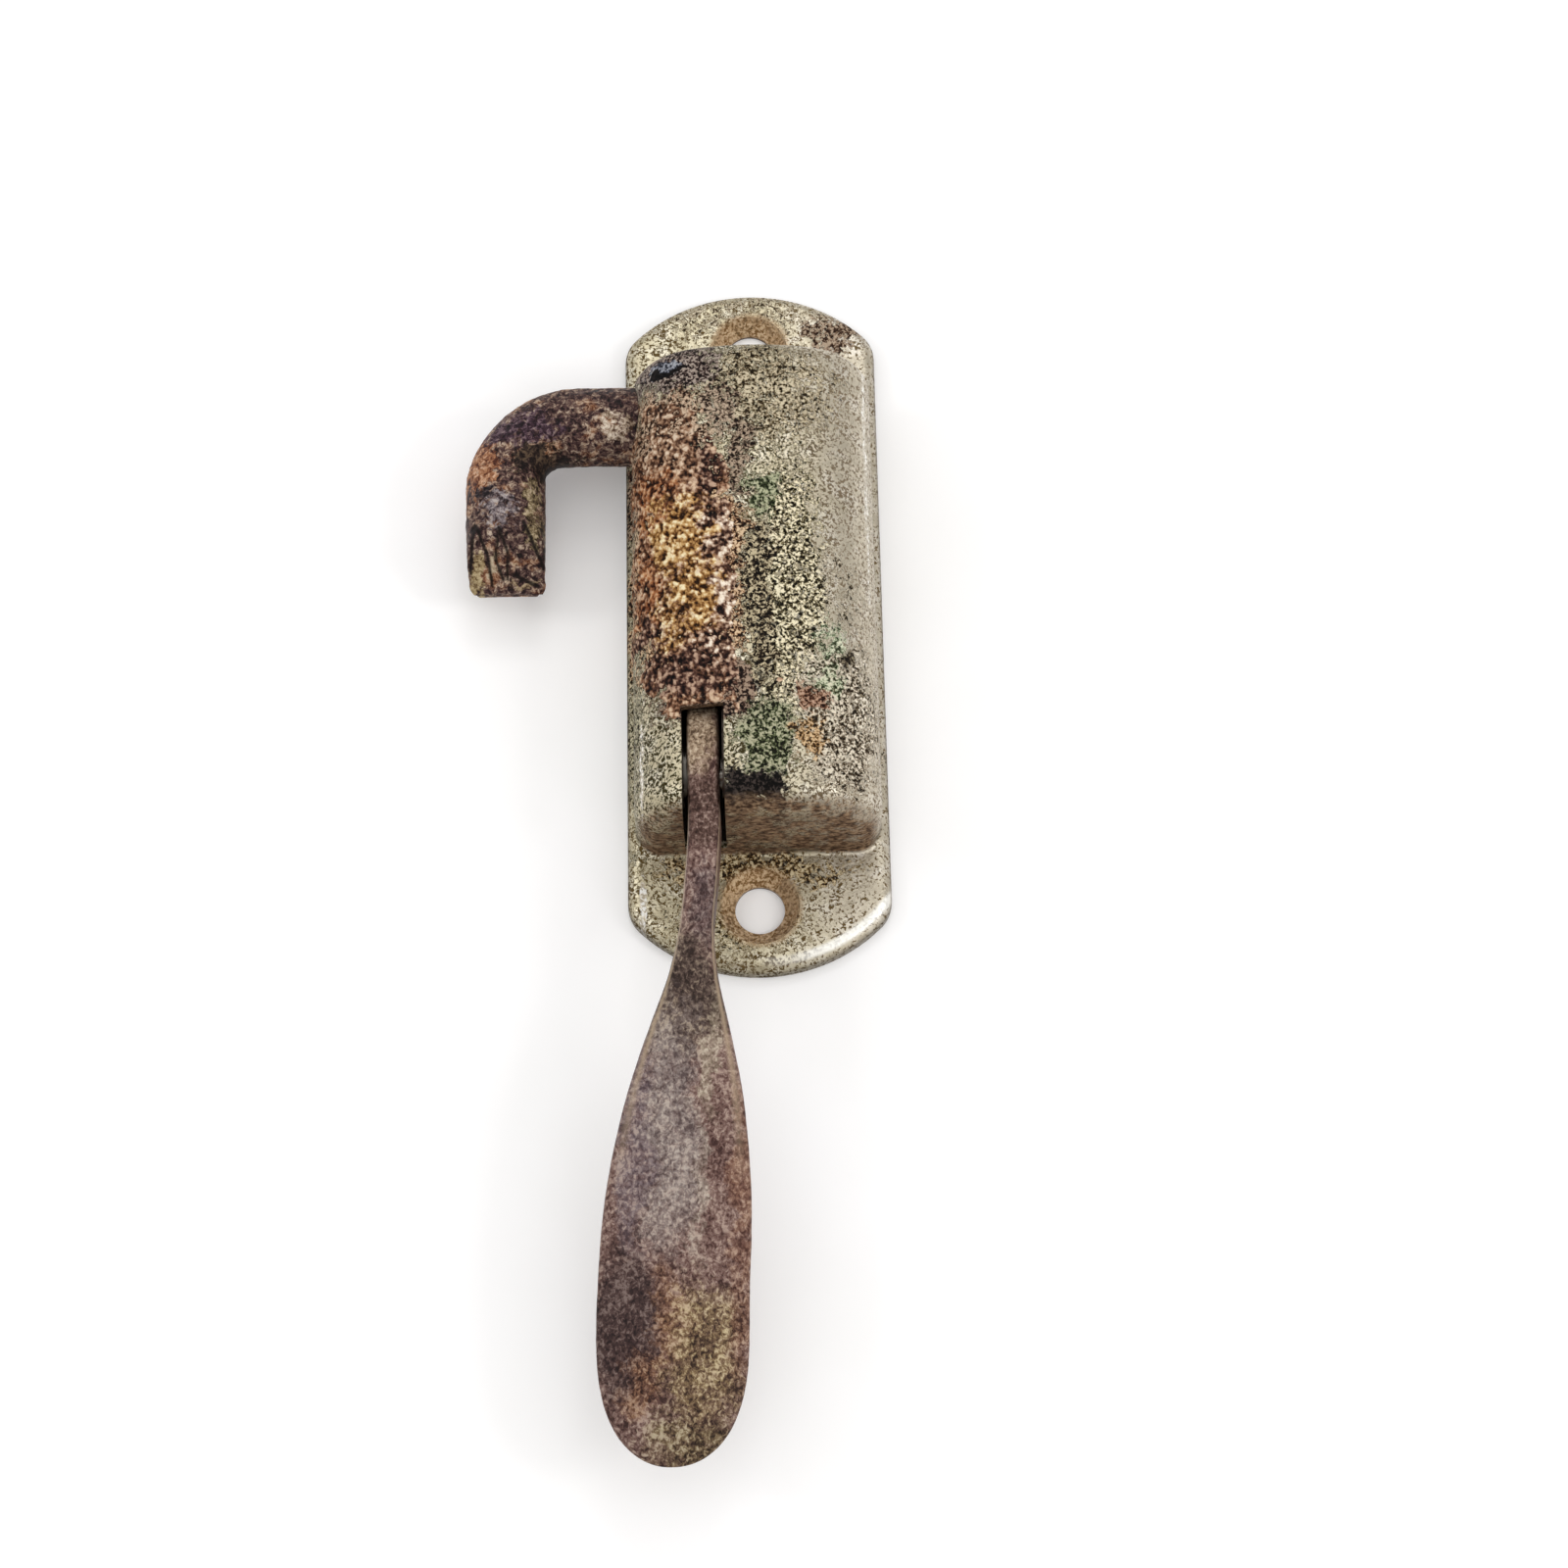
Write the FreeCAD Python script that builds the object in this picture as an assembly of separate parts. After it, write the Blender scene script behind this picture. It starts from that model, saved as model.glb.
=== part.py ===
import FreeCAD, Part
import math
import os

# Wall-mounted lever opener. Millimetres.
# X is across the cover, Y along it towards the hook end, Z out of the wall.
# The origin is the centre of the back face, midway between the two screw holes.

V = FreeCAD.Vector
X_DIR = V(1, 0, 0)
Y_DIR = V(0, 1, 0)
Z_DIR = V(0, 0, 1)

# --- sheet cover and back plate ---
cover_width = 28.6
cover_length = 81.8
end_arc_radius = 18.7
corner_radius = 4.0
sheet = 0.9
plate_thickness = 1.4
rim_radius = 1.5
plate_side_gap = 0.1
screw_end_distance = 7.4
screw_hole_radius = 2.7
dimple_radius = 4.3
dimple_lip_height = 0.3
dimple_gap = 0.06

# --- raised housing of the cover ---
hump_rim = 1.0
end_land = 13.5
hump_height = 17.5
hump_crown_radius = 26.0
hump_shoulder_radius = 9.0
hump_end_radius = 2.8
hump_foot_radius = 0.6
slot_side_gap = 0.5
slot_above_pivot = 4.8
slot_sill = 1.7
shaft_hole_gap = 0.25
shaft_hole_above_flange = 0.05

# --- hook arm and its cross-shaft ---
bar_radius = 4.5
shaft_end_wall_gap = 0.15
hook_throat = 9.6
bend_radius = 6.3
hook_reach = 19.4
hook_tip_thickness = 1.3
hook_tip_rise = 2.0
bevel_length = 7.1
back_bevel_length = 4.0
journal_radius = 3.2
crank_seat_radius = 2.8
spigot_radius = 1.9
running_gap = 0.05

# --- brackets, bushes and rivets ---
bracket_sheet = 1.2
bush_wall = 0.9
bush_flange_wall = 0.6
bush_flange_thickness = 0.8
bush_overhang = 0.7
ear_wall = 1.7
outer_ear_x = -9.6
ear_side = 0.65
crank_side_gap = 0.25
spring_room = 5.4
rivet_radius = 0.8
rivet_head_radius = 1.45
rivet_head_height = 0.7
rivet_pitch = 5.6
shaft_rivet_offset = 1.6

# --- lever ---
pivot_from_hump_end = 6.9
heel_floor_gap = 0.4
lever_thickness = 3.5
heel_radius = 7.5
pivot_pin_radius = 1.5
pivot_head_radius = 2.4
pivot_head_height = 0.8
side_washer_thickness = 0.3
side_washer_radius = 2.7
spacer_radius = 2.05
lever_ear_radius = 3.0
lever_ear_depth = 9.0
left_foot_width = 2.9
right_foot_width = 5.2

# --- equal cranks and the bar that joins them ---
crank_radius = 4.5
crank_rest_angle = -30.0
link_pin_radius = 1.0
link_eye_radius = 2.1
link_half_height = 1.4
link_thickness = 1.8
link_side_gap = 0.25
open_pivot_gap = 0.1
link_washer_thickness = 0.4
link_washer_radius = 1.8
link_head_radius = 1.6
link_head_height = 0.7
hub_radius = 4.2
crank_eye_radius = 2.4
taper_pin_radius = 0.8
taper_pin_overhang = 0.4
stop_pin_radius = 1.0
stop_gap = 0.1
stop_along_flank = 2.0

# --- shaft end: washer, split pins and return spring ---
washer_thickness = 0.6
washer_wall = 1.5
split_pin_radius = 0.5
split_pin_setback = 0.9
split_pin_overhang = 1.0
split_pin_eye_radius = 1.0
shaft_end_margin = 1.2
spring_wire_radius = 0.35
spring_mean_radius = 2.75
spring_turns = 4
spring_end_gap = 0.1
spring_pin_radius = 0.6
spring_pin_overhang = 1.5
spring_pin_gap = 0.8

# Lever stations from the neck to the tip of the paddle, measured from the pivot:
# distance, half width, sideways lean of the centre, top height, thickness, crown of the top.
# The first four are the neck, which leaves the slot as thick as the heel.
LEVER_STATIONS = [
    (1.0, lever_thickness / 2, 0.0, 7.2, 9.0, 0.05),
    (8.0, lever_thickness / 2, 0.0, 6.5, 8.7, 0.05),
    (13.5, lever_thickness / 2 + 0.05, 0.4, 5.9, 7.2, 0.10),
    (19.5, lever_thickness / 2 + 0.20, 1.0, 5.3, 5.2, 0.15),
    (24.3, 2.75, 1.4, 5.0, 3.9, 0.25),
    (29.0, 4.10, 1.8, 4.8, 3.2, 0.40),
    (35.5, 5.80, 2.3, 4.6, 2.7, 0.60),
    (45.0, 7.30, 3.0, 4.3, 2.5, 0.80),
    (59.0, 7.75, 3.8, 3.5, 2.4, 0.80),
    (66.1, 7.30, 3.9, 2.9, 2.3, 0.70),
    (70.1, 5.90, 4.0, 2.5, 2.1, 0.50),
    (72.7, 3.90, 4.0, 2.2, 1.8, 0.30),
    (73.9, 1.20, 4.0, 2.0, 1.2, 0.10),
]
lever_edge_share = 0.3

# --- cover and housing, worked out from the sizes above ---
half_width = cover_width / 2
half_length = cover_length / 2
screw_y = half_length - screw_end_distance
flange_top = plate_thickness + sheet
bracket_top = plate_thickness + bracket_sheet
hump_half_width = half_width - hump_rim
hump_half_length = half_length - end_land

# --- cross-shaft: beside the end wall, just clear of the flange ---
shaft_hole_radius = bar_radius + shaft_hole_gap
shaft_y = hump_half_length - sheet - shaft_hole_radius - shaft_end_wall_gap
shaft_z = flange_top + shaft_hole_above_flange + shaft_hole_radius
leg_x = -(hump_half_width + hook_throat + bar_radius)
hook_tip_y = shaft_y - hook_reach
tip_back_z = shaft_z - bar_radius + hook_tip_rise
bevel_start_y = hook_tip_y + bevel_length
back_bevel_start_y = hook_tip_y + back_bevel_length

# --- pieces in a row along X, from the bracket's outer ear inwards ---
shoulder_x = outer_ear_x - bush_flange_thickness - 2 * running_gap
lever_left = outer_ear_x + bracket_sheet + bush_overhang + crank_side_gap
lever_right = lever_left + lever_thickness
lever_x = (lever_left + lever_right) / 2
link_left = lever_right + link_side_gap
link_right = link_left + link_thickness
link_washer_right = link_right + link_washer_thickness
link_head_right = link_washer_right + link_head_height
spring_pin_x = link_head_right + spring_pin_gap
inner_ear_x = spring_pin_x + spring_room
washer_left = inner_ear_x + bracket_sheet + 2 * running_gap
shaft_pin_x = washer_left + washer_thickness + split_pin_setback
shaft_end_x = shaft_pin_x + shaft_end_margin
shaft_rivet_x = spring_pin_x + shaft_rivet_offset
bush_bore = journal_radius + running_gap
bush_radius = bush_bore + bush_wall
inner_bush_bore = spigot_radius + running_gap
inner_bush_radius = inner_bush_bore + bush_wall

# --- lever pivot and its ears ---
lever_pivot_y = pivot_from_hump_end - hump_half_length
lever_pivot_z = plate_thickness + heel_floor_gap + heel_radius
slot_width = lever_thickness + 2 * slot_side_gap
slot_top_y = lever_pivot_y + slot_above_pivot
slot_floor_z = flange_top + slot_sill
left_ear_right_x = lever_left - side_washer_thickness - 2 * running_gap
right_ear_left_x = link_head_right + link_side_gap
pivot_washer_left = right_ear_left_x + bracket_sheet + running_gap
pivot_split_x = pivot_washer_left + washer_thickness + split_pin_setback
pivot_end_x = pivot_split_x + shaft_end_margin


def turned(radius, x0, x1, y, z):
    """A solid cylinder along X between x0 and x1."""
    return Part.makeCylinder(radius, x1 - x0, V(x0, y, z), X_DIR)


def ring(outer, inner, x0, x1, y, z):
    """A tube along X between x0 and x1."""
    return turned(outer, x0, x1, y, z).cut(turned(inner, x0, x1, y, z))


def block(x0, x1, y0, y1, z0, z1):
    return Part.makeBox(x1 - x0, y1 - y0, z1 - z0, V(x0, y0, z0))


def prism(edges, travel):
    """The solid that a closed outline sweeps along a straight travel."""
    return Part.Face(Part.Wire(edges)).extrude(travel)


def arc(start, middle, end):
    return Part.Arc(start, middle, end).toShape()


def line(start, end):
    return Part.LineSegment(start, end).toShape()


def swung(y, z, radius, angle):
    """The point at a radius from an X axis, angle degrees from +Z towards +Y."""
    turn = math.radians(angle)
    return y + radius * math.sin(turn), z + radius * math.cos(turn)


def rest_pin(y, z):
    """Where a crank about the X axis at y, z holds its link pin at rest."""
    return swung(y, z, crank_radius, crank_rest_angle)


def flange_outline(inset):
    """Two straight sides and two end arcs, with rounded corners, set in all round."""
    side = half_width - inset
    end = end_arc_radius - inset
    corner = corner_radius - inset
    arc_centre = half_length - end_arc_radius
    across = side - corner
    along = arc_centre + math.sqrt((end - corner) ** 2 - across ** 2)
    lean = math.atan2(across, along - arc_centre)
    knee = (math.pi / 2 + lean) / 2
    join = V(end * math.sin(lean), arc_centre + end * math.cos(lean), 0)
    bulge = V(across + corner * math.sin(knee), along + corner * math.cos(knee), 0)

    def mirrored(point, sx, sy):
        return V(sx * point.x, sy * point.y, 0)

    edges = []
    for sy in (1, -1):
        edges.append(arc(mirrored(join, -1, sy), V(0, sy * (half_length - inset), 0), mirrored(join, 1, sy)))
        for sx in (1, -1):
            edges.append(arc(mirrored(join, sx, sy), mirrored(bulge, sx, sy), V(sx * side, sy * along, 0)))
    for sx in (1, -1):
        edges.append(line(V(sx * side, along, 0), V(sx * side, -along, 0)))
    return Part.__sortEdges__(edges)


def rounded_plate(inset, height, edge_radius):
    """The flange outline as a plate whose upper edge is rolled over."""
    plate = prism(flange_outline(inset), V(0, 0, height))
    upper = [e for e in plate.Edges if min(v.Z for v in e.Vertexes) > height / 2]
    return plate.makeFillet(edge_radius, upper)


def hump_block(inset, floor):
    """The raised housing as a solid: upright sides, round shoulders, a shallow crown."""
    side = hump_half_width - inset
    shoulder = hump_shoulder_radius - inset
    crown = hump_crown_radius - inset
    crown_z = hump_height - hump_crown_radius
    across = hump_half_width - hump_shoulder_radius
    between = hump_crown_radius - hump_shoulder_radius
    shoulder_z = crown_z + math.sqrt(between ** 2 - across ** 2)
    lean = math.asin(across / between)
    knee = (math.pi / 2 + lean) / 2
    y0 = -(hump_half_length - inset)

    def at(x, z):
        return V(x, y0, z)

    join_x = crown * math.sin(lean)
    join_z = crown_z + crown * math.cos(lean)
    bulge_x = across + shoulder * math.sin(knee)
    bulge_z = shoulder_z + shoulder * math.cos(knee)
    edges = [
        line(at(-side, floor), at(-side, shoulder_z)),
        arc(at(-side, shoulder_z), at(-bulge_x, bulge_z), at(-join_x, join_z)),
        arc(at(-join_x, join_z), at(0, crown_z + crown), at(join_x, join_z)),
        arc(at(join_x, join_z), at(bulge_x, bulge_z), at(side, shoulder_z)),
        line(at(side, shoulder_z), at(side, floor)),
        line(at(side, floor), at(-side, floor)),
    ]
    solid = prism(edges, V(0, -2 * y0, 0))
    ends = [
        e for e in solid.Edges
        if abs(e.CenterOfMass.y) > abs(y0) - 0.01 and e.CenterOfMass.z > floor + 0.01
    ]
    return solid.makeFillet(hump_end_radius - inset, ends)


def cone_of_revolution(points, y):
    """A solid turned about the vertical axis through x = 0 and y."""
    outline = Part.makePolygon([V(r, y, z) for r, z in points + points[:1]])
    return Part.Face(outline).revolve(V(0, y, 0), Z_DIR, 360)


def dimple(y):
    """The dished seat of a countersunk screw, pressed down from the flange."""
    depth = dimple_radius - screw_hole_radius
    slant = sheet * math.sqrt(2)
    under_flange = dimple_radius - sheet + slant
    under_lip = under_flange - (plate_thickness - dimple_lip_height)
    return cone_of_revolution([
        (dimple_radius, flange_top),
        (screw_hole_radius, flange_top - depth),
        (screw_hole_radius, dimple_lip_height),
        (under_lip, dimple_lip_height),
        (under_flange, plate_thickness),
        (under_flange, flange_top),
    ], y)


def dimple_seat(y):
    """The countersink of the back plate that takes the dished sheet."""
    under_flange = dimple_radius - sheet + sheet * math.sqrt(2) + dimple_gap
    under_lip = under_flange - (plate_thickness - dimple_lip_height)
    return cone_of_revolution([
        (0, dimple_lip_height),
        (under_lip, dimple_lip_height),
        (under_flange, plate_thickness),
        (0, plate_thickness),
    ], y)


def cover():
    """One stamping: rolled flange, raised housing, lever slot, shaft hole, screw seats."""
    skin = rounded_plate(0, flange_top, rim_radius).fuse(hump_block(0, 0)).removeSplitter()
    foot = [
        e for e in skin.Edges
        if plate_thickness < e.BoundBox.ZMin and e.BoundBox.ZMax < flange_top + running_gap
        and e.BoundBox.XMax < hump_half_width + running_gap
        and e.BoundBox.XMin > -hump_half_width - running_gap
        and e.BoundBox.YMax < hump_half_length + running_gap
        and e.BoundBox.YMin > -hump_half_length - running_gap
    ]
    skin = skin.makeFillet(hump_foot_radius, foot)
    skin = skin.cut(rounded_plate(sheet, plate_thickness, rim_radius - sheet))
    skin = skin.cut(hump_block(sheet, -sheet))
    skin = skin.cut(block(
        lever_x - slot_width / 2, lever_x + slot_width / 2,
        -half_length, slot_top_y, slot_floor_z, hump_height + sheet,
    ))
    skin = skin.cut(turned(shaft_hole_radius, -half_width - sheet, outer_ear_x, shaft_y, shaft_z))
    for y in (screw_y, -screw_y):
        skin = skin.cut(Part.makeCylinder(dimple_radius, flange_top + sheet, V(0, y, 0)))
        skin = skin.fuse(dimple(y))
    return skin.removeSplitter()


def rivet_places():
    """Centres of the rivets that hold the three brackets to the back plate."""
    left_foot_x = left_ear_right_x - bracket_sheet - left_foot_width / 2
    right_foot_x = right_ear_left_x + bracket_sheet + right_foot_width / 2
    places = []
    for side in (-0.5, 0.5):
        places.append((left_foot_x, lever_pivot_y + side * rivet_pitch))
        places.append((right_foot_x, lever_pivot_y + side * rivet_pitch))
        places.append((shaft_rivet_x, shaft_y + side * rivet_pitch))
    return places


def rivet(x, y):
    """A rivet set flush in the back face, with a domed head on the bracket."""
    sink = rivet_head_radius - rivet_radius
    dome = (rivet_head_radius ** 2 + rivet_head_height ** 2) / (2 * rivet_head_height)
    head = Part.makeSphere(dome, V(x, y, bracket_top + rivet_head_height - dome))
    head = head.common(Part.makeCylinder(dome, 2 * dome, V(x, y, bracket_top)))
    shank = Part.makeCylinder(rivet_radius, bracket_top, V(x, y, 0))
    flush = Part.makeCone(rivet_head_radius, rivet_radius, sink, V(x, y, 0), Z_DIR)
    return shank.fuse(flush).fuse(head).removeSplitter()


def rivet_holes():
    holes = [Part.makeCylinder(rivet_radius, bracket_top, V(x, y, 0)) for x, y in rivet_places()]
    return holes[0].multiFuse(holes[1:])


def back_plate():
    """Flat steel inside the rim, countersunk for the dished screw seats and the rivets."""
    inset = sheet + plate_side_gap
    plate = rounded_plate(inset, plate_thickness, rim_radius - sheet)
    for y in (screw_y, -screw_y):
        plate = plate.cut(Part.makeCylinder(screw_hole_radius, plate_thickness, V(0, y, 0)))
        plate = plate.cut(dimple_seat(y))
    for x, y in rivet_places():
        plate = plate.cut(rivet(x, y))
    return plate


def stop_centre():
    """The stop pin lies against the flank between the crank's hub and its eye."""
    lean = math.degrees(math.acos((hub_radius - crank_eye_radius) / crank_radius))
    flank = crank_rest_angle - lean
    y, z = swung(shaft_y, shaft_z, hub_radius + stop_pin_radius + stop_gap, flank)
    return swung(y, z, stop_along_flank, flank + 90)


def shaft_ear(x0, bore, radius):
    """An upright ear with a round top about the cross-shaft."""
    ear = turned(radius, x0, x0 + bracket_sheet, shaft_y, shaft_z)
    post = block(x0, x0 + bracket_sheet, shaft_y - radius, shaft_y + radius, plate_thickness, shaft_z)
    return ear.fuse(post).cut(turned(bore, x0, x0 + bracket_sheet, shaft_y, shaft_z))


def shaft_bracket():
    """A U-shaped bracket whose ears carry the two bushes and the stop pin."""
    outer_right = outer_ear_x + bracket_sheet
    half_span = bush_radius + ear_side
    ear_radius = inner_bush_radius + ear_wall
    stop_y, stop_z = stop_centre()
    boss = stop_pin_radius + ear_wall / 2
    body = block(outer_ear_x, inner_ear_x + bracket_sheet, shaft_y - half_span, shaft_y + half_span,
                 plate_thickness, bracket_top)
    body = body.fuse(shaft_ear(outer_ear_x, bush_radius, half_span))
    body = body.fuse(shaft_ear(inner_ear_x, inner_bush_radius, ear_radius))
    body = body.fuse(turned(boss, outer_ear_x, outer_right, stop_y, stop_z))
    body = body.fuse(block(outer_ear_x, outer_right, stop_y - boss, shaft_y - half_span, plate_thickness, stop_z))
    body = body.cut(turned(bush_radius, outer_ear_x, outer_right, shaft_y, shaft_z))
    body = body.cut(turned(stop_pin_radius, outer_ear_x, outer_right, stop_y, stop_z))
    return body.cut(rivet_holes()).cut(spring_leg_hole()).removeSplitter()


def shaft_bush_outer():
    """Flanged bush of the outer ear; its flange takes the shaft's shoulder."""
    inner_end = outer_ear_x + bracket_sheet + bush_overhang
    barrel = ring(bush_radius, bush_bore, outer_ear_x, inner_end, shaft_y, shaft_z)
    flange = ring(bush_radius + bush_flange_wall, bush_bore,
                  outer_ear_x - bush_flange_thickness, outer_ear_x, shaft_y, shaft_z)
    return barrel.fuse(flange).removeSplitter()


def shaft_bush_inner():
    """Flanged bush of the inner ear, round the turned-down end of the shaft."""
    barrel = ring(inner_bush_radius, inner_bush_bore,
                  inner_ear_x, inner_ear_x + bracket_sheet, shaft_y, shaft_z)
    flange = ring(inner_bush_radius + bush_flange_wall, inner_bush_bore,
                  inner_ear_x - bush_flange_thickness, inner_ear_x, shaft_y, shaft_z)
    return barrel.fuse(flange).removeSplitter()


def stop_pin():
    y, z = stop_centre()
    return turned(stop_pin_radius, outer_ear_x, lever_right, y, z)


def taper_pin_direction():
    turn = math.radians(crank_rest_angle + 90)
    return V(0, math.sin(turn), math.cos(turn))


def cross_pin(x, y, z, direction, radius, reach):
    """A pin across the axis at y, z that reaches equally to both sides."""
    return Part.makeCylinder(radius, 2 * reach, V(x, y, z) - direction * reach, direction)


def tip_waste(start_y, surface_z, edge_z):
    """Wedge ground off one side of the leg, from the bar's surface down to the tip's edge."""
    slope = (surface_z - edge_z) / (start_y - hook_tip_y)
    beyond = bar_radius
    side_x = leg_x - 2 * bar_radius
    upper = V(side_x, start_y + beyond, surface_z + slope * beyond)
    lower = V(side_x, hook_tip_y - beyond, edge_z - slope * beyond)
    corner = V(side_x, hook_tip_y - beyond, surface_z + slope * beyond)
    return prism([line(upper, lower), line(lower, corner), line(corner, upper)], V(4 * bar_radius, 0, 0))


def hook_arm():
    """Round bar: the cross-shaft, one tight bend, and the leg with its chisel tip."""
    bend_x = leg_x + bend_radius
    bend_y = shaft_y - bend_radius
    arm = turned(bar_radius, bend_x, shoulder_x, shaft_y, shaft_z)
    torus = Part.makeTorus(bend_radius, bar_radius, V(bend_x, bend_y, shaft_z), Z_DIR)
    quarter = torus.common(block(
        leg_x - 2 * bar_radius, bend_x, bend_y, shaft_y + 2 * bar_radius, 0, 2 * shaft_z,
    ))
    leg = Part.makeCylinder(bar_radius, bend_y - hook_tip_y, V(leg_x, hook_tip_y, shaft_z), Y_DIR)
    leg = leg.cut(tip_waste(bevel_start_y, shaft_z + bar_radius, tip_back_z + hook_tip_thickness))
    leg = leg.cut(tip_waste(back_bevel_start_y, shaft_z - bar_radius, tip_back_z))
    arm = arm.fuse(quarter).fuse(leg)
    arm = arm.fuse(turned(journal_radius, shoulder_x, lever_left, shaft_y, shaft_z))
    arm = arm.fuse(turned(crank_seat_radius, lever_left, lever_right, shaft_y, shaft_z))
    arm = arm.fuse(turned(spigot_radius, lever_right, shaft_end_x, shaft_y, shaft_z))
    arm = arm.cut(crank_taper_pin())
    arm = arm.cut(spring_pin())
    arm = arm.cut(cross_pin(shaft_pin_x, shaft_y, shaft_z, Z_DIR, split_pin_radius + running_gap, bar_radius))
    return arm.removeSplitter()


def shaft_crank():
    """The crank pinned to the cross-shaft: a hub and an eye joined by straight flanks."""
    pin_y, pin_z = rest_pin(shaft_y, shaft_z)
    hub = turned(hub_radius, lever_left, lever_right, shaft_y, shaft_z)
    eye = turned(crank_eye_radius, lever_left, lever_right, pin_y, pin_z)
    lean = math.degrees(math.acos((hub_radius - crank_eye_radius) / crank_radius))
    corners = []
    for side in (-1, 1):
        angle = crank_rest_angle + side * lean
        ends = [swung(shaft_y, shaft_z, hub_radius, angle), swung(pin_y, pin_z, crank_eye_radius, angle)]
        corners += ends if side < 0 else ends[::-1]
    outline = Part.makePolygon([V(lever_left, y, z) for y, z in corners + corners[:1]])
    crank = hub.fuse(eye).fuse(Part.Face(outline).extrude(V(lever_thickness, 0, 0)))
    crank = crank.cut(turned(crank_seat_radius, lever_left, lever_right, shaft_y, shaft_z))
    crank = crank.cut(turned(link_pin_radius, lever_left, lever_right, pin_y, pin_z))
    return crank.cut(crank_taper_pin()).removeSplitter()


def crank_taper_pin():
    reach = hub_radius + taper_pin_overhang
    return cross_pin(lever_x, shaft_y, shaft_z, taper_pin_direction(), taper_pin_radius, reach)


def spring_pin():
    reach = spigot_radius + spring_pin_overhang
    return cross_pin(spring_pin_x, shaft_y, shaft_z, Y_DIR, spring_pin_radius, reach)


def link_pin(y, z):
    """A riveted pin, flush in its crank on the left and headed beyond the washer."""
    shank = turned(link_pin_radius, lever_left, link_head_right, y, z)
    head = turned(link_head_radius, link_washer_right, link_head_right, y, z)
    return shank.fuse(head).removeSplitter()


def crank_link_pin():
    return link_pin(*rest_pin(shaft_y, shaft_z))


def lever_link_pin():
    return link_pin(*rest_pin(lever_pivot_y, lever_pivot_z))


def link_bar():
    """Flat bar with two eyes; the eye at the hook end has the looser hole."""
    lever_pin = rest_pin(lever_pivot_y, lever_pivot_z)
    hook_pin = rest_pin(shaft_y, shaft_z)
    run_y = hook_pin[0] - lever_pin[0]
    run_z = hook_pin[1] - lever_pin[1]
    length = math.hypot(run_y, run_z)
    bar = block(link_left, link_right, 0, length, -link_half_height, link_half_height)
    bar.rotate(V(0, 0, 0), X_DIR, math.degrees(math.atan2(run_z, run_y)))
    bar.translate(V(0, lever_pin[0], lever_pin[1]))
    for (y, z), gap in ((lever_pin, running_gap), (hook_pin, open_pivot_gap)):
        bar = bar.fuse(turned(link_eye_radius, link_left, link_right, y, z))
        bar = bar.cut(turned(link_pin_radius + gap, link_left, link_right, y, z))
    return bar.removeSplitter()


def link_washers():
    """One washer under the head of each link pin."""
    washers = []
    for y, z in (rest_pin(lever_pivot_y, lever_pivot_z), rest_pin(shaft_y, shaft_z)):
        washers.append(ring(link_washer_radius, link_pin_radius + open_pivot_gap,
                            link_right, link_washer_right - running_gap, y, z))
    return Part.makeCompound(washers)


def lever_section(distance, half, lean, rise, thickness, crown):
    """One cross-section of the lever: rounded edges and a crowned top face."""
    y = lever_pivot_y - distance
    centre = lever_x - lean
    top = lever_pivot_z + rise
    edge = lever_edge_share * min(2 * half, thickness)
    turn = edge * (1 - math.sqrt(0.5))
    left, right = centre - half, centre + half
    shoulder = top - crown
    floor = top - thickness

    def at(x, z):
        return V(x, y, z)

    return Part.Wire([
        line(at(left + edge, floor), at(right - edge, floor)),
        arc(at(right - edge, floor), at(right - turn, floor + turn), at(right, floor + edge)),
        line(at(right, floor + edge), at(right, shoulder - edge)),
        arc(at(right, shoulder - edge), at(right - turn, shoulder - turn), at(right - edge, shoulder)),
        arc(at(right - edge, shoulder), at(centre, top), at(left + edge, shoulder)),
        arc(at(left + edge, shoulder), at(left + turn, shoulder - turn), at(left, shoulder - edge)),
        line(at(left, shoulder - edge), at(left, floor + edge)),
        arc(at(left, floor + edge), at(left + turn, floor + turn), at(left + edge, floor)),
    ])


def lever():
    """Forged lever: a round heel, a root with flat sides, a thin neck and a spoon-shaped paddle."""
    sections = [lever_section(*station) for station in LEVER_STATIONS]
    root = Part.makeLoft(sections[:2], True, True)
    blade = Part.makeLoft(sections[1:], True, False)
    heel = turned(heel_radius, lever_left, lever_right, lever_pivot_y, lever_pivot_z)
    body = heel.fuse(root).fuse(blade)
    body = body.cut(turned(pivot_pin_radius + running_gap, lever_left, lever_right,
                           lever_pivot_y, lever_pivot_z))
    body = body.cut(turned(link_pin_radius, lever_left, lever_right,
                           *rest_pin(lever_pivot_y, lever_pivot_z)))
    return body.removeSplitter()


def lever_bracket(ear_x, foot_x0, foot_x1):
    """An L-shaped bracket: an upright ear for the lever's pivot pin and a riveted foot."""
    ear = turned(lever_ear_radius, ear_x, ear_x + bracket_sheet, lever_pivot_y, lever_pivot_z)
    half_depth = lever_ear_depth / 2
    post = block(ear_x, ear_x + bracket_sheet, lever_pivot_y - lever_ear_radius,
                 lever_pivot_y + lever_ear_radius, plate_thickness, lever_pivot_z)
    foot = block(foot_x0, foot_x1, lever_pivot_y - half_depth, lever_pivot_y + half_depth,
                 plate_thickness, bracket_top)
    body = ear.fuse(post).fuse(foot)
    body = body.cut(turned(pivot_pin_radius, ear_x, ear_x + bracket_sheet, lever_pivot_y, lever_pivot_z))
    return body.cut(rivet_holes()).removeSplitter()


def lever_bracket_left():
    ear_x = left_ear_right_x - bracket_sheet
    return lever_bracket(ear_x, ear_x - left_foot_width, left_ear_right_x)


def lever_bracket_right():
    foot_x1 = right_ear_left_x + bracket_sheet + right_foot_width
    return lever_bracket(right_ear_left_x, right_ear_left_x, foot_x1)


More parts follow.
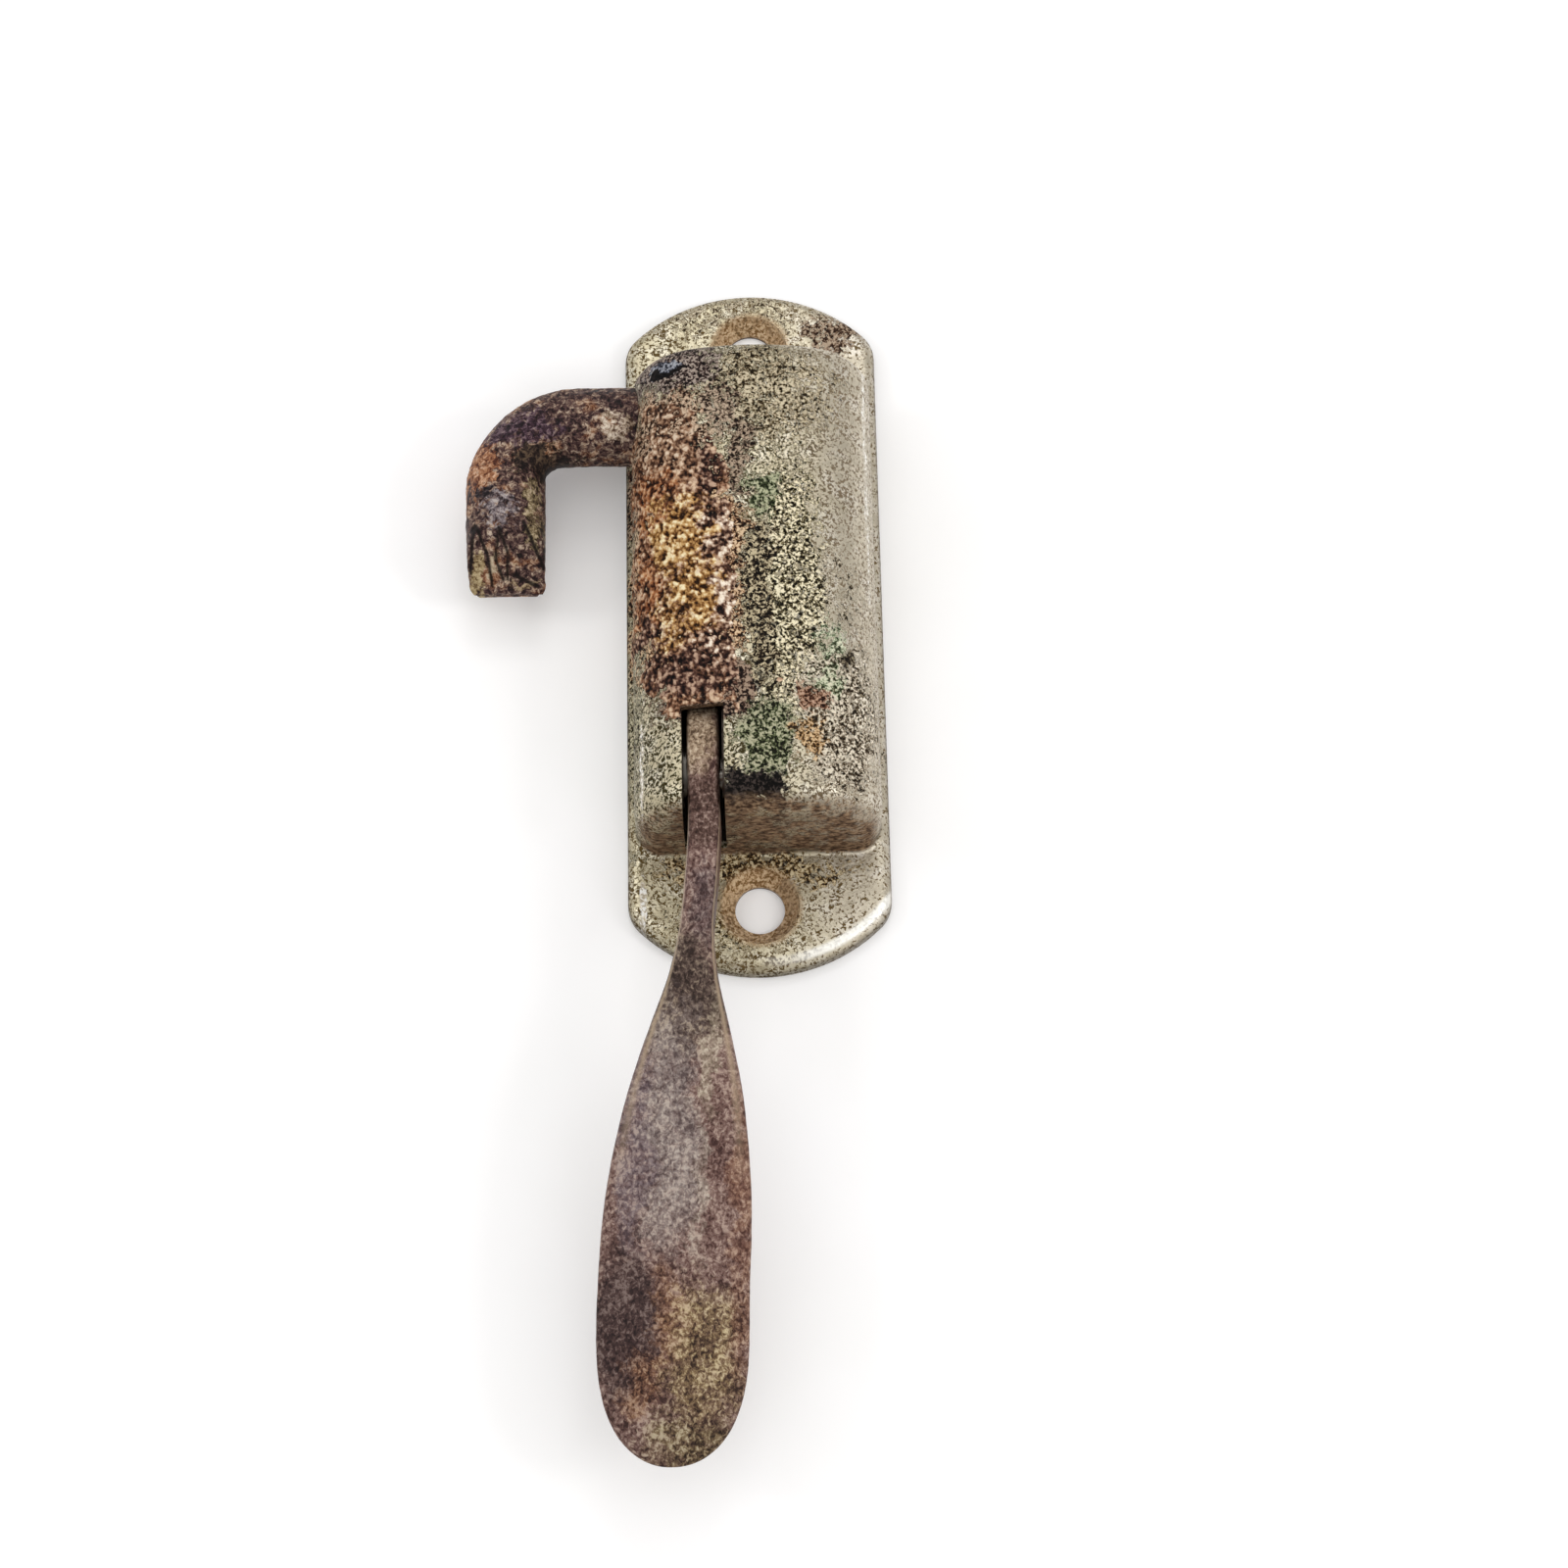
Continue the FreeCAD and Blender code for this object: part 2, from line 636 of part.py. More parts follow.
def lever_pivot_pin():
    """Headed pin through both ears, cross-drilled for its split pin."""
    ear_x = left_ear_right_x - bracket_sheet
    shank = turned(pivot_pin_radius, ear_x, pivot_end_x, lever_pivot_y, lever_pivot_z)
    head = turned(pivot_head_radius, ear_x - pivot_head_height, ear_x, lever_pivot_y, lever_pivot_z)
    hole = cross_pin(pivot_split_x, lever_pivot_y, lever_pivot_z, Z_DIR,
                     split_pin_radius + running_gap, pivot_head_radius)
    return shank.fuse(head).cut(hole).removeSplitter()


def lever_side_washer():
    return ring(side_washer_radius, pivot_pin_radius + running_gap,
                left_ear_right_x, left_ear_right_x + side_washer_thickness, lever_pivot_y, lever_pivot_z)


def lever_spacer():
    return ring(spacer_radius, pivot_pin_radius + running_gap,
                lever_right + running_gap, right_ear_left_x, lever_pivot_y, lever_pivot_z)


def lever_pivot_washer():
    return ring(pivot_pin_radius + washer_wall, pivot_pin_radius + running_gap,
                pivot_washer_left - running_gap, pivot_washer_left + washer_thickness,
                lever_pivot_y, lever_pivot_z)


def shaft_washer():
    return ring(spigot_radius + washer_wall, spigot_radius + running_gap,
                washer_left, washer_left + washer_thickness, shaft_y, shaft_z)


def split_pin(x, y, z, pin_radius):
    """A split pin across a pin: a ring eye above and a straight double leg below."""
    reach = pin_radius + split_pin_overhang
    leg = Part.makeCylinder(split_pin_radius, 2 * reach, V(x, y, z - reach), Z_DIR)
    eye_z = z + reach + split_pin_eye_radius
    eye = Part.makeTorus(split_pin_eye_radius, split_pin_radius / 2, V(x, y, eye_z), X_DIR)
    return leg.fuse(eye).removeSplitter()


def shaft_split_pin():
    return split_pin(shaft_pin_x, shaft_y, shaft_z, spigot_radius)


def lever_split_pin():
    return split_pin(pivot_split_x, lever_pivot_y, lever_pivot_z, pivot_pin_radius)


def spring_leg_place():
    """Where the spring's fixed leg goes down into the bracket."""
    return inner_ear_x - bush_flange_thickness - spring_wire_radius - spring_end_gap, shaft_y - spring_mean_radius


def spring_leg_hole():
    x, y = spring_leg_place()
    return Part.makeCylinder(spring_wire_radius + running_gap, bracket_sheet, V(x, y, plate_thickness))


def return_spring():
    """Torsion spring round the shaft: one leg lies on the spring pin, one in the bracket."""
    end_x, end_y = spring_leg_place()
    start_x = spring_pin_x + spring_pin_radius + spring_wire_radius + spring_end_gap
    over_pin = spring_pin_radius + spring_wire_radius + running_gap
    lift = math.asin(over_pin / spring_mean_radius)
    length = end_x - start_x
    turns = spring_turns + lift / (2 * math.pi)
    circle = Part.Wire(Part.makeCircle(spring_wire_radius, V(spring_mean_radius, 0, 0), Y_DIR))
    coil = Part.Wire(Part.makeHelix(length / turns, length, spring_mean_radius))
    coil = coil.makePipeShell([circle], True, True)
    coil.rotate(V(0, 0, 0), Z_DIR, -math.degrees(lift))
    coil.rotate(V(0, 0, 0), Y_DIR, 90)
    coil.rotate(V(0, 0, 0), X_DIR, -90)
    coil.translate(V(start_x, shaft_y, shaft_z))
    moving_leg = Part.makeCylinder(
        spring_wire_radius, start_x - spring_pin_x + spring_pin_radius,
        V(spring_pin_x - spring_pin_radius, shaft_y - spring_mean_radius * math.cos(lift), shaft_z + over_pin),
        X_DIR)
    fixed_leg = Part.makeCylinder(
        spring_wire_radius, shaft_z - plate_thickness, V(end_x, end_y, plate_thickness), Z_DIR)
    return coil.fuse(moving_leg).fuse(fixed_leg)


def bracket_rivets():
    return Part.makeCompound([rivet(x, y) for x, y in rivet_places()])


NODES = {
    "cover": cover,
    "back_plate": back_plate,
    "shaft_bracket": shaft_bracket,
    "shaft_bush_outer": shaft_bush_outer,
    "shaft_bush_inner": shaft_bush_inner,
    "stop_pin": stop_pin,
    "bracket_rivets": bracket_rivets,
    "return_spring": return_spring,
    "lever_bracket_left": lever_bracket_left,
    "lever_bracket_right": lever_bracket_right,
    "lever_pivot_pin": lever_pivot_pin,
    "lever_pivot_washer": lever_pivot_washer,
    "lever_split_pin": lever_split_pin,
    "lever_side_washer": lever_side_washer,
    "lever_spacer": lever_spacer,
    "lever": lever,
    "lever_link_pin": lever_link_pin,
    "link_bar": link_bar,
    "link_washers": link_washers,
    "hook_arm": hook_arm,
    "shaft_crank": shaft_crank,
    "crank_taper_pin": crank_taper_pin,
    "crank_link_pin": crank_link_pin,
    "spring_pin": spring_pin,
    "shaft_washer": shaft_washer,
    "shaft_split_pin": shaft_split_pin,
}

os.makedirs("parts", exist_ok=True)
for name, build in NODES.items():
    shape = build()
    shape.exportStep("parts/" + name + ".step")
    box = shape.BoundBox
    print(name, len(shape.Solids), "solids", shape.isValid(), round(shape.Volume, 2),
          [round(v, 2) for v in (box.XMin, box.XMax, box.YMin, box.YMax, box.ZMin, box.ZMax)])
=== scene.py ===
import math

import bmesh
import bpy
import numpy as np
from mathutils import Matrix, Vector, noise
from mathutils.bvhtree import BVHTree


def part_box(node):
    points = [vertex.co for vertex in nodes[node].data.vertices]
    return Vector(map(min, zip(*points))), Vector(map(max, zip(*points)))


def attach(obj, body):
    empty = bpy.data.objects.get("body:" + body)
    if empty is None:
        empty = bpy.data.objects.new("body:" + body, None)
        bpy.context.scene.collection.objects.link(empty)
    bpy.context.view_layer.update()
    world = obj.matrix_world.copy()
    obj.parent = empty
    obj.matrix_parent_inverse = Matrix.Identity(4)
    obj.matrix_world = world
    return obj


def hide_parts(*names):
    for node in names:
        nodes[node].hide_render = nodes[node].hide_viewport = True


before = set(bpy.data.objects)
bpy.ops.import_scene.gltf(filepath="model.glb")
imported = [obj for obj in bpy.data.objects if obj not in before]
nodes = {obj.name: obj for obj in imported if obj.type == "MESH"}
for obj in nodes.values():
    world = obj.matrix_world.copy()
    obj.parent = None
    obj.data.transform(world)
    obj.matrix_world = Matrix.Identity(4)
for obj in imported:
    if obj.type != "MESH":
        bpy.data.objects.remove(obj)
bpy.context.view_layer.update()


# --- back plate -----------------------------------------------------------------------------
# The flat plate inside the cover's rim that carries the whole mechanism.
# Cold-rolled steel 1.4 mm thick, cropped in a press; never plated, so it has browned all over.

MM = 0.001


def linear(code):
    """Linear colour for a shader, from an sRGB hex value."""
    channels = [int(code[i:i + 2], 16) / 255 for i in (1, 3, 5)]
    return [c / 12.92 if c <= 0.04045 else ((c + 0.055) / 1.055) ** 2.4 for c in channels] + [1.0]


def per(size_mm):
    """Texture scale at which one feature of a pattern is this many millimetres across."""
    return 1 / (size_mm * MM)


def wire(tree, node, inputs):
    """Sets or links a node's inputs; another node stands for its own first output in use."""
    for socket, value in inputs.items():
        if isinstance(value, bpy.types.Node):
            value = next(output for output in value.outputs if output.enabled)
        if isinstance(value, bpy.types.NodeSocket):
            tree.links.new(value, node.inputs[socket])
        else:
            node.inputs[socket].default_value = value


def add(tree, kind, inputs=None, stops=None, **settings):
    """Adds a node, then its settings, its input values or links, and a ramp's colour stops."""
    node = tree.nodes.new(kind)
    for name, value in settings.items():
        setattr(node, name, value)
    wire(tree, node, inputs or {})
    if stops:
        elements = node.color_ramp.elements
        while len(elements) < len(stops):
            elements.new(1.0)
        for element, (position, code) in zip(elements, stops):
            element.position = position
            element.color = linear(code)
    return node


def start_material(name):
    """New material: its tree, its surface shader, and the piece's own coordinates."""
    material = bpy.data.materials.new(name)
    material.use_nodes = True
    tree = material.node_tree
    shader = tree.nodes["Principled BSDF"]
    place = add(tree, "ShaderNodeTexCoord").outputs["Object"]
    return material, tree, shader, place


def finish_node(node_name, material):
    """Gives a CAD node its finish in place of the plain one it comes with."""
    finishes = nodes[node_name].data.materials
    finishes.clear()
    finishes.append(material)


def browned_steel():
    """Bare cold-rolled steel gone brown: a dull satin sheet, freckled with fine dark rust."""
    material, tree, shader, place = start_material("browned cold-rolled steel")
    clouds = add(tree, "ShaderNodeTexNoise", {
        "Vector": place, "Scale": per(5.0), "Detail": 5.0, "Roughness": 0.6})
    freckles = add(tree, "ShaderNodeTexNoise", {
        "Vector": place, "Scale": per(0.8), "Detail": 4.0, "Roughness": 0.65})
    sheet = add(tree, "ShaderNodeValToRGB", {"Fac": clouds}, stops=[
        (0.36, "#5A5049"), (0.52, "#7C7268"), (0.68, "#8F857A")])
    rusted = add(tree, "ShaderNodeMapRange", {
        "Value": freckles, "From Min": 0.50, "From Max": 0.60})
    colour = add(tree, "ShaderNodeMix", {
        0: rusted, 6: sheet, 7: linear("#4B3426")}, data_type="RGBA")
    metal = add(tree, "ShaderNodeMapRange", {"Value": rusted, "To Min": 0.95, "To Max": 0.1})
    gloss = add(tree, "ShaderNodeMapRange", {"Value": freckles, "To Min": 0.35, "To Max": 0.75})
    relief = add(tree, "ShaderNodeBump", {
        "Height": freckles, "Strength": 0.5, "Distance": 0.05 * MM})
    wire(tree, shader, {
        "Base Color": colour, "Metallic": metal, "Roughness": gloss, "Normal": relief})
    return material


steel_finish = browned_steel()
finish_node("back_plate", steel_finish)


# --- brackets and rivets --------------------------------------------------------------------
# One folded bracket for the cross-shaft and two ears for the lever, all pressed from steel strip.
# Six round-headed rivets are set through the back plate and closed flush behind it.

for bracket in ("shaft_bracket", "lever_bracket_left", "lever_bracket_right"):
    finish_node(bracket, steel_finish)


def drawn_steel():
    """Drawn and turned steel wire: bright, with fine rings round it and the odd brown spot."""
    material, tree, shader, place = start_material("turned bright steel")
    # Real drawing marks are far finer than 0.1 mm; they are drawn coarser so that they show.
    rings = add(tree, "ShaderNodeTexWave", {
        "Vector": place, "Scale": per(0.6), "Distortion": 2.0, "Detail": 2.0}, bands_direction="X")
    spots = add(tree, "ShaderNodeTexNoise", {
        "Vector": place, "Scale": per(1.2), "Detail": 4.0, "Roughness": 0.6})
    stained = add(tree, "ShaderNodeMapRange", {"Value": spots, "From Min": 0.55, "From Max": 0.66})
    colour = add(tree, "ShaderNodeMix", {
        0: stained, 6: linear("#A9A49B"), 7: linear("#6B5040")}, data_type="RGBA")
    metal = add(tree, "ShaderNodeMapRange", {"Value": stained, "To Min": 1.0, "To Max": 0.3})
    gloss = add(tree, "ShaderNodeMapRange", {"Value": spots, "To Min": 0.18, "To Max": 0.6})
    relief = add(tree, "ShaderNodeBump", {
        "Height": rings.outputs["Fac"], "Strength": 0.25, "Distance": 0.02 * MM})
    wire(tree, shader, {
        "Base Color": colour, "Metallic": metal, "Roughness": gloss, "Normal": relief})
    return material


pin_finish = drawn_steel()
for pin in ("bracket_rivets", "stop_pin"):
    finish_node(pin, pin_finish)


# --- bushes ---------------------------------------------------------------------------------
# Two flanged bushes pressed into the shaft bracket, in which the cross-shaft turns.
# Turned from brass rod, with tool rings, and darkened by old grease.

def turned_brass():
    """Brass off the lathe, gone dull yellow-brown under grease: soft gloss, dark in patches."""
    material, tree, shader, place = start_material("turned brass under old grease")
    grease = add(tree, "ShaderNodeTexNoise", {
        "Vector": place, "Scale": per(2.5), "Detail": 4.0, "Roughness": 0.6})
    # Real tool rings are finer, about 0.1 mm apart; they are drawn coarser so that they show.
    tool_rings = add(tree, "ShaderNodeTexWave", {
        "Vector": place, "Scale": per(0.5), "Distortion": 0.6}, bands_direction="X")
    colour = add(tree, "ShaderNodeValToRGB", {"Fac": grease}, stops=[
        (0.38, "#5B4526"), (0.52, "#A5824A"), (0.68, "#C3A162")])
    gloss = add(tree, "ShaderNodeMapRange", {"Value": grease, "To Min": 0.55, "To Max": 0.22})
    relief = add(tree, "ShaderNodeBump", {
        "Height": tool_rings.outputs["Fac"], "Strength": 0.3, "Distance": 0.02 * MM})
    shader.inputs["Metallic"].default_value = 1.0
    wire(tree, shader, {"Base Color": colour, "Roughness": gloss, "Normal": relief})
    return material


brass_finish = turned_brass()
for bush in ("shaft_bush_outer", "shaft_bush_inner"):
    finish_node(bush, brass_finish)


# --- hook arm -------------------------------------------------------------------------------
# A 9 mm round steel bar, bent hot through a right angle; one end is turned down as the
# cross-shaft, and the other is hammered to a chisel tip. Bare steel, so it has rusted deeply.

BAR_RADIUS = 4.5 * MM
# The shaft's three turned steps: its end, the crank's seat, and the journal in the bushes.
SHAFT_END_RADIUS, CRANK_SEAT_RADIUS, JOURNAL_RADIUS = 1.9 * MM, 2.8 * MM, 3.2 * MM
SHAFT_CENTRE = Vector((0, 21.6, 7.1)) * MM
LEG_X = -27.4 * MM
BEND_RADIUS = 6.3 * MM
BEND_FLATTENING = 0.19
HOOK_TIP_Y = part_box("hook_arm")[0].y
BEVEL_LENGTH = 7.1 * MM
BACK_BEVEL_LENGTH = 4.0 * MM
TIP_Z = (4.6 * MM, 5.9 * MM)
# How deep rust has eaten the bar, in millimetres: in wide hollows and in fine pits.
BAR_PITS = (0.12, 0.14)
LEG_PITS = (0.10, 0.14)


def face_outward(mesh):
    """Turns every face of a closed mesh to look outwards."""
    solid = bmesh.new()
    solid.from_mesh(mesh)
    bmesh.ops.recalc_face_normals(solid, faces=solid.faces)
    solid.to_mesh(mesh)
    solid.free()


def put_in_scene(name, data):
    """New object in the scene, for a mesh, a lamp or a camera."""
    thing = bpy.data.objects.new(name, data)
    bpy.context.scene.collection.objects.link(thing)
    return thing


def note_values(mesh, name, values):
    """Notes a value at each point of a mesh, for its finish to read."""
    mesh.attributes.new(name, "FLOAT", "POINT").data.foreach_set("value", values)


def skin(name, rings):
    """Closed mesh through rings of points, each ring the same count, with both ends capped."""
    rings = np.asarray(rings)
    count, around = rings.shape[:2]
    faces = []
    for i in range(count - 1):
        for j in range(around):
            k = (j + 1) % around
            near, far = i * around, (i + 1) * around
            faces.append((near + j, near + k, far + k, far + j))
    points = rings.reshape(-1, 3).tolist()
    for ring, order in ((0, -1), (count - 1, 1)):
        centre = rings[ring].mean(0)
        points.append(centre.tolist())
        for j in range(around):
            edge = (ring * around + j, ring * around + (j + 1) % around)[::order]
            faces.append(edge + (len(points) - 1,))
    mesh = bpy.data.meshes.new(name)
    mesh.from_pydata(points, [], faces)
    face_outward(mesh)
    mesh.shade_smooth()
    return put_in_scene(name, mesh)


DRILL_REACH = 4 * MM


def bore(piece, centre, radius, along):
    """Drills a round hole right through a piece, with a drill that reaches past both sides."""
    first = along.orthogonal().normalized()
    second = along.cross(first)
    turns = np.linspace(0, 2 * math.pi, 64, endpoint=False)
    drill = skin("drill", [
        [centre + along * end + (first * math.cos(turn) + second * math.sin(turn)) * radius
         for turn in turns] for end in (-DRILL_REACH, DRILL_REACH)])
    cut = piece.modifiers.new("bore", "BOOLEAN")
    cut.operation = "DIFFERENCE"
    cut.solver = "EXACT"
    cut.object = drill
    depsgraph = bpy.context.evaluated_depsgraph_get()
    bored = bpy.data.meshes.new_from_object(
        piece.evaluated_get(depsgraph), preserve_all_data_layers=True, depsgraph=depsgraph)
    piece.modifiers.remove(cut)
    piece.data = bored
    bpy.data.objects.remove(drill)


def rough(point, size_mm, depth=4):
    """Smooth noise from about -1 to 1 whose largest lumps are this many millimetres across."""
    return noise.fractal(Vector(point) / (size_mm * MM), 0.8, 2.0, depth)


def pitted(point, outward, coarse_mm, fine_mm):
    """Moves a point in along its normal, as far as rust has eaten the surface there."""
    lumps = 0.5 + 0.5 * rough(point, 3.4, 3)
    grit = 0.5 + 0.5 * rough(point, 0.9, 3)
    depth = coarse_mm * min(max(lumps, 0), 1) + fine_mm * min(max(grit, 0), 1)
    return Vector(point) - outward * depth * MM


def hook_ring(angle_along, offset, radius, thinning=0.0, around=112):
    """One ring of the bar: across the shaft, round the bend, or across the leg."""
    bend_centre = Vector((LEG_X + BEND_RADIUS, SHAFT_CENTRE.y - BEND_RADIUS, SHAFT_CENTRE.z))
    out = Vector((-math.sin(angle_along), math.cos(angle_along), 0))
    along = Vector((-math.cos(angle_along), -math.sin(angle_along), 0))
    centre = bend_centre + out * BEND_RADIUS + along * offset
    ring = []
    for j in range(around):
        turn = 2 * math.pi * j / around
        side = out * math.cos(turn) + Vector((0, 0, math.sin(turn)))
        reach = radius * (1 - thinning * max(math.cos(turn), 0))
        ring.append((centre + side * reach, side))
    return ring


# Edges of the hammered flats on the front of the leg: each runs between two places, given
# across the leg and up from the tip, in millimetres.
TIP_CREASES = (
    ((-3.3, 6.4), (-4.2, 2.0)), ((-3.3, 6.4), (-2.0, 3.4)), ((-2.0, 3.4), (-1.65, 0.7)),
    ((-0.5, 5.9), (-1.1, 3.1)), ((-1.1, 3.1), (-0.3, 1.3)), ((-0.5, 5.9), (0.4, 3.6)),
    ((0.4, 3.6), (0.2, 1.3)), ((2.3, 6.4), (4.4, 2.3)), ((0.9, 1.7), (3.6, 0.7)),
)
CREASE_WIDTH = 0.34
CREASE_DEPTH = 0.22 * MM
WORN_CORNER = 0.8 * MM


def near_crease(across, rise):
    """1 on the edge of a hammered flat, falling to 0 beside it; sizes in millimetres."""
    nearest = CREASE_WIDTH
    for (x1, y1), (x2, y2) in TIP_CREASES:
        run, climb = x2 - x1, y2 - y1
        along = ((across - x1) * run + (rise - y1) * climb) / (run**2 + climb**2)
        along = min(max(along, 0), 1)
        nearest = min(nearest, math.hypot(across - x1 - along * run, rise - y1 - along * climb))
    return 1 - nearest / CREASE_WIDTH


def chisel(point, outward):
    """Holds a point of the leg to the hammered tip; also says how near it is to a flat's edge.

    The front bevel falls away to both sides, more towards the tip, and the corners are worn in.
    """
    rise = point.y - HOOK_TIP_Y
    across = (point.x - LEG_X) / BAR_RADIUS
    tipward = max(1 - rise / BEVEL_LENGTH, 0)
    front = TIP_Z[1] + (SHAFT_CENTRE.z + BAR_RADIUS - TIP_Z[1]) * rise / BEVEL_LENGTH
    front -= 0.9 * MM * max(abs(across + 0.05) - 0.36, 0) * tipward
    back = TIP_Z[0] - (TIP_Z[0] - SHAFT_CENTRE.z + BAR_RADIUS) * rise / BACK_BEVEL_LENGTH
    edge = 0.0
    if outward.z > 0.1:
        edge = near_crease((point.x - LEG_X) / MM, rise / MM)
    corner = max(1 - rise / WORN_CORNER, 0)
    narrow = 1 - 0.10 * corner**2 - (0.08 if across < 0 else 0.0) * tipward
    height = max(min(point.z, front), back) - CREASE_DEPTH * edge
    return Vector((LEG_X + (point.x - LEG_X) * narrow, point.y, height)), edge


def hook_rings():
    """Rings from the cross-shaft's inner end to the tip, and each point's nearness to an edge."""
    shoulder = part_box("shaft_bush_outer")[0].x - 0.1 * MM
    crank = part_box("shaft_crank")
    bend_x = LEG_X + BEND_RADIUS
    steps = [
        (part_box("hook_arm")[1].x, crank[1].x, SHAFT_END_RADIUS),
        (crank[1].x, crank[0].x, CRANK_SEAT_RADIUS),
        (crank[0].x, shoulder, JOURNAL_RADIUS),
    ]
    rings = []
    for start, end, radius in steps:
        for x in np.linspace(start, end, 6):
            rings.append([place for place, _ in hook_ring(0, bend_x - x, radius)])
    for x in np.linspace(shoulder, bend_x, 54):
        rings.append([pitted(p, n, *BAR_PITS) for p, n in hook_ring(0, bend_x - x, BAR_RADIUS)])
    for angle in np.radians(np.linspace(2, 90, 50)):
        flat = BEND_FLATTENING * math.sin(2 * angle) ** 0.8
        rings.append([pitted(p, n, *BAR_PITS) for p, n in hook_ring(angle, 0, BAR_RADIUS, flat)])
    edges = [[0.0] * len(ring) for ring in rings]
    leg_length = SHAFT_CENTRE.y - BEND_RADIUS - HOOK_TIP_Y
    for offset in np.linspace(0, leg_length, 76)[1:]:
        ring, ring_edges = [], []
        for point, outward in hook_ring(math.pi / 2, offset, BAR_RADIUS):
            flat, edge = chisel(point, outward)
            worn = pitted(flat, outward, *LEG_PITS)
            worn.y = flat.y
            ring.append(worn)
            ring_edges.append(edge)
        rings.append(ring)
        edges.append(ring_edges)
    # The tip's end face is the last ring again, drawn in towards its centre.
    last = rings[-1]
    centre = sum(last, Vector()) / len(last)
    for shrink in (0.97, 0.8, 0.5):
        rings.append([centre + (p - centre) * shrink for p in last])
        edges.append([0.0] * len(last))
    return rings, edges


def wander(tree, place, size_mm, reach_mm):
    """Coordinates pushed about by noise, so that a patch drawn in them has a ragged outline."""
    drift = add(tree, "ShaderNodeTexNoise", {
        "Vector": place, "Scale": per(size_mm), "Detail": 5.0, "Roughness": 0.65})
    centred = add(tree, "ShaderNodeVectorMath", {
        0: drift.outputs["Color"], 1: (0.5, 0.5, 0.5)}, operation="SUBTRACT")
    push = add(tree, "ShaderNodeVectorMath", {0: centred, "Scale": reach_mm * MM},
               operation="SCALE")
    return add(tree, "ShaderNodeVectorMath", {0: place, 1: push}, operation="ADD")


def inside_oval(tree, place, centre, radii, edge=0.5):
    """1 inside an upright oval, seen from the front, and 0 outside; sizes in millimetres."""
    offset = add(tree, "ShaderNodeVectorMath", {
        0: place, 1: (centre[0] * MM, centre[1] * MM, 0)}, operation="SUBTRACT")
    scaled = add(tree, "ShaderNodeVectorMath", {
        0: offset, 1: (per(radii[0]), per(radii[1]), 0)}, operation="MULTIPLY")
    reach = add(tree, "ShaderNodeVectorMath", {0: scaled}, operation="LENGTH")
    return add(tree, "ShaderNodeMapRange", {
        "Value": reach, "From Min": 1 + edge, "From Max": 1 - edge},
        interpolation_type="SMOOTHSTEP")


def lay_patches(tree, colour, grain, place, patches, stops, blend=0.25):
    """Lays ragged, grain-by-grain patches of colour over a surface; also gives what stays bare.

    A patch is its centre, its radii, the share of the surface it takes in its middle, and its
    colours from the pits of the grain to the crests. Blend says how softly its grains fade out.
    """
    scatter = add(tree, "ShaderNodeTexNoise", {
        "Vector": place, "Scale": per(0.9), "Detail": 3.0, "Roughness": 0.6})
    scatter = add(tree, "ShaderNodeMapRange", {
        "Value": scatter, "From Min": 0.36, "From Max": 0.64, "To Max": 1 - blend})
    bare = None
    for centre, radii, share, codes in patches:
        patch = add(tree, "ShaderNodeValToRGB", {"Fac": grain}, stops=list(zip(stops, codes)))
        over = add(tree, "ShaderNodeMath", {
            0: inside_oval(tree, place, centre, radii), 1: share}, operation="MULTIPLY")
        over = add(tree, "ShaderNodeMath", {0: over, 1: scatter}, operation="SUBTRACT")
        covered = add(tree, "ShaderNodeMapRange", {"Value": over, "From Max": blend})
        colour = add(tree, "ShaderNodeMix", {0: covered, 6: colour, 7: patch}, data_type="RGBA")
        left = add(tree, "ShaderNodeMath", {0: 1.0, 1: covered}, operation="SUBTRACT")
        bare = left if bare is None else add(
            tree, "ShaderNodeMath", {0: bare, 1: left}, operation="MULTIPLY")
    return colour, bare


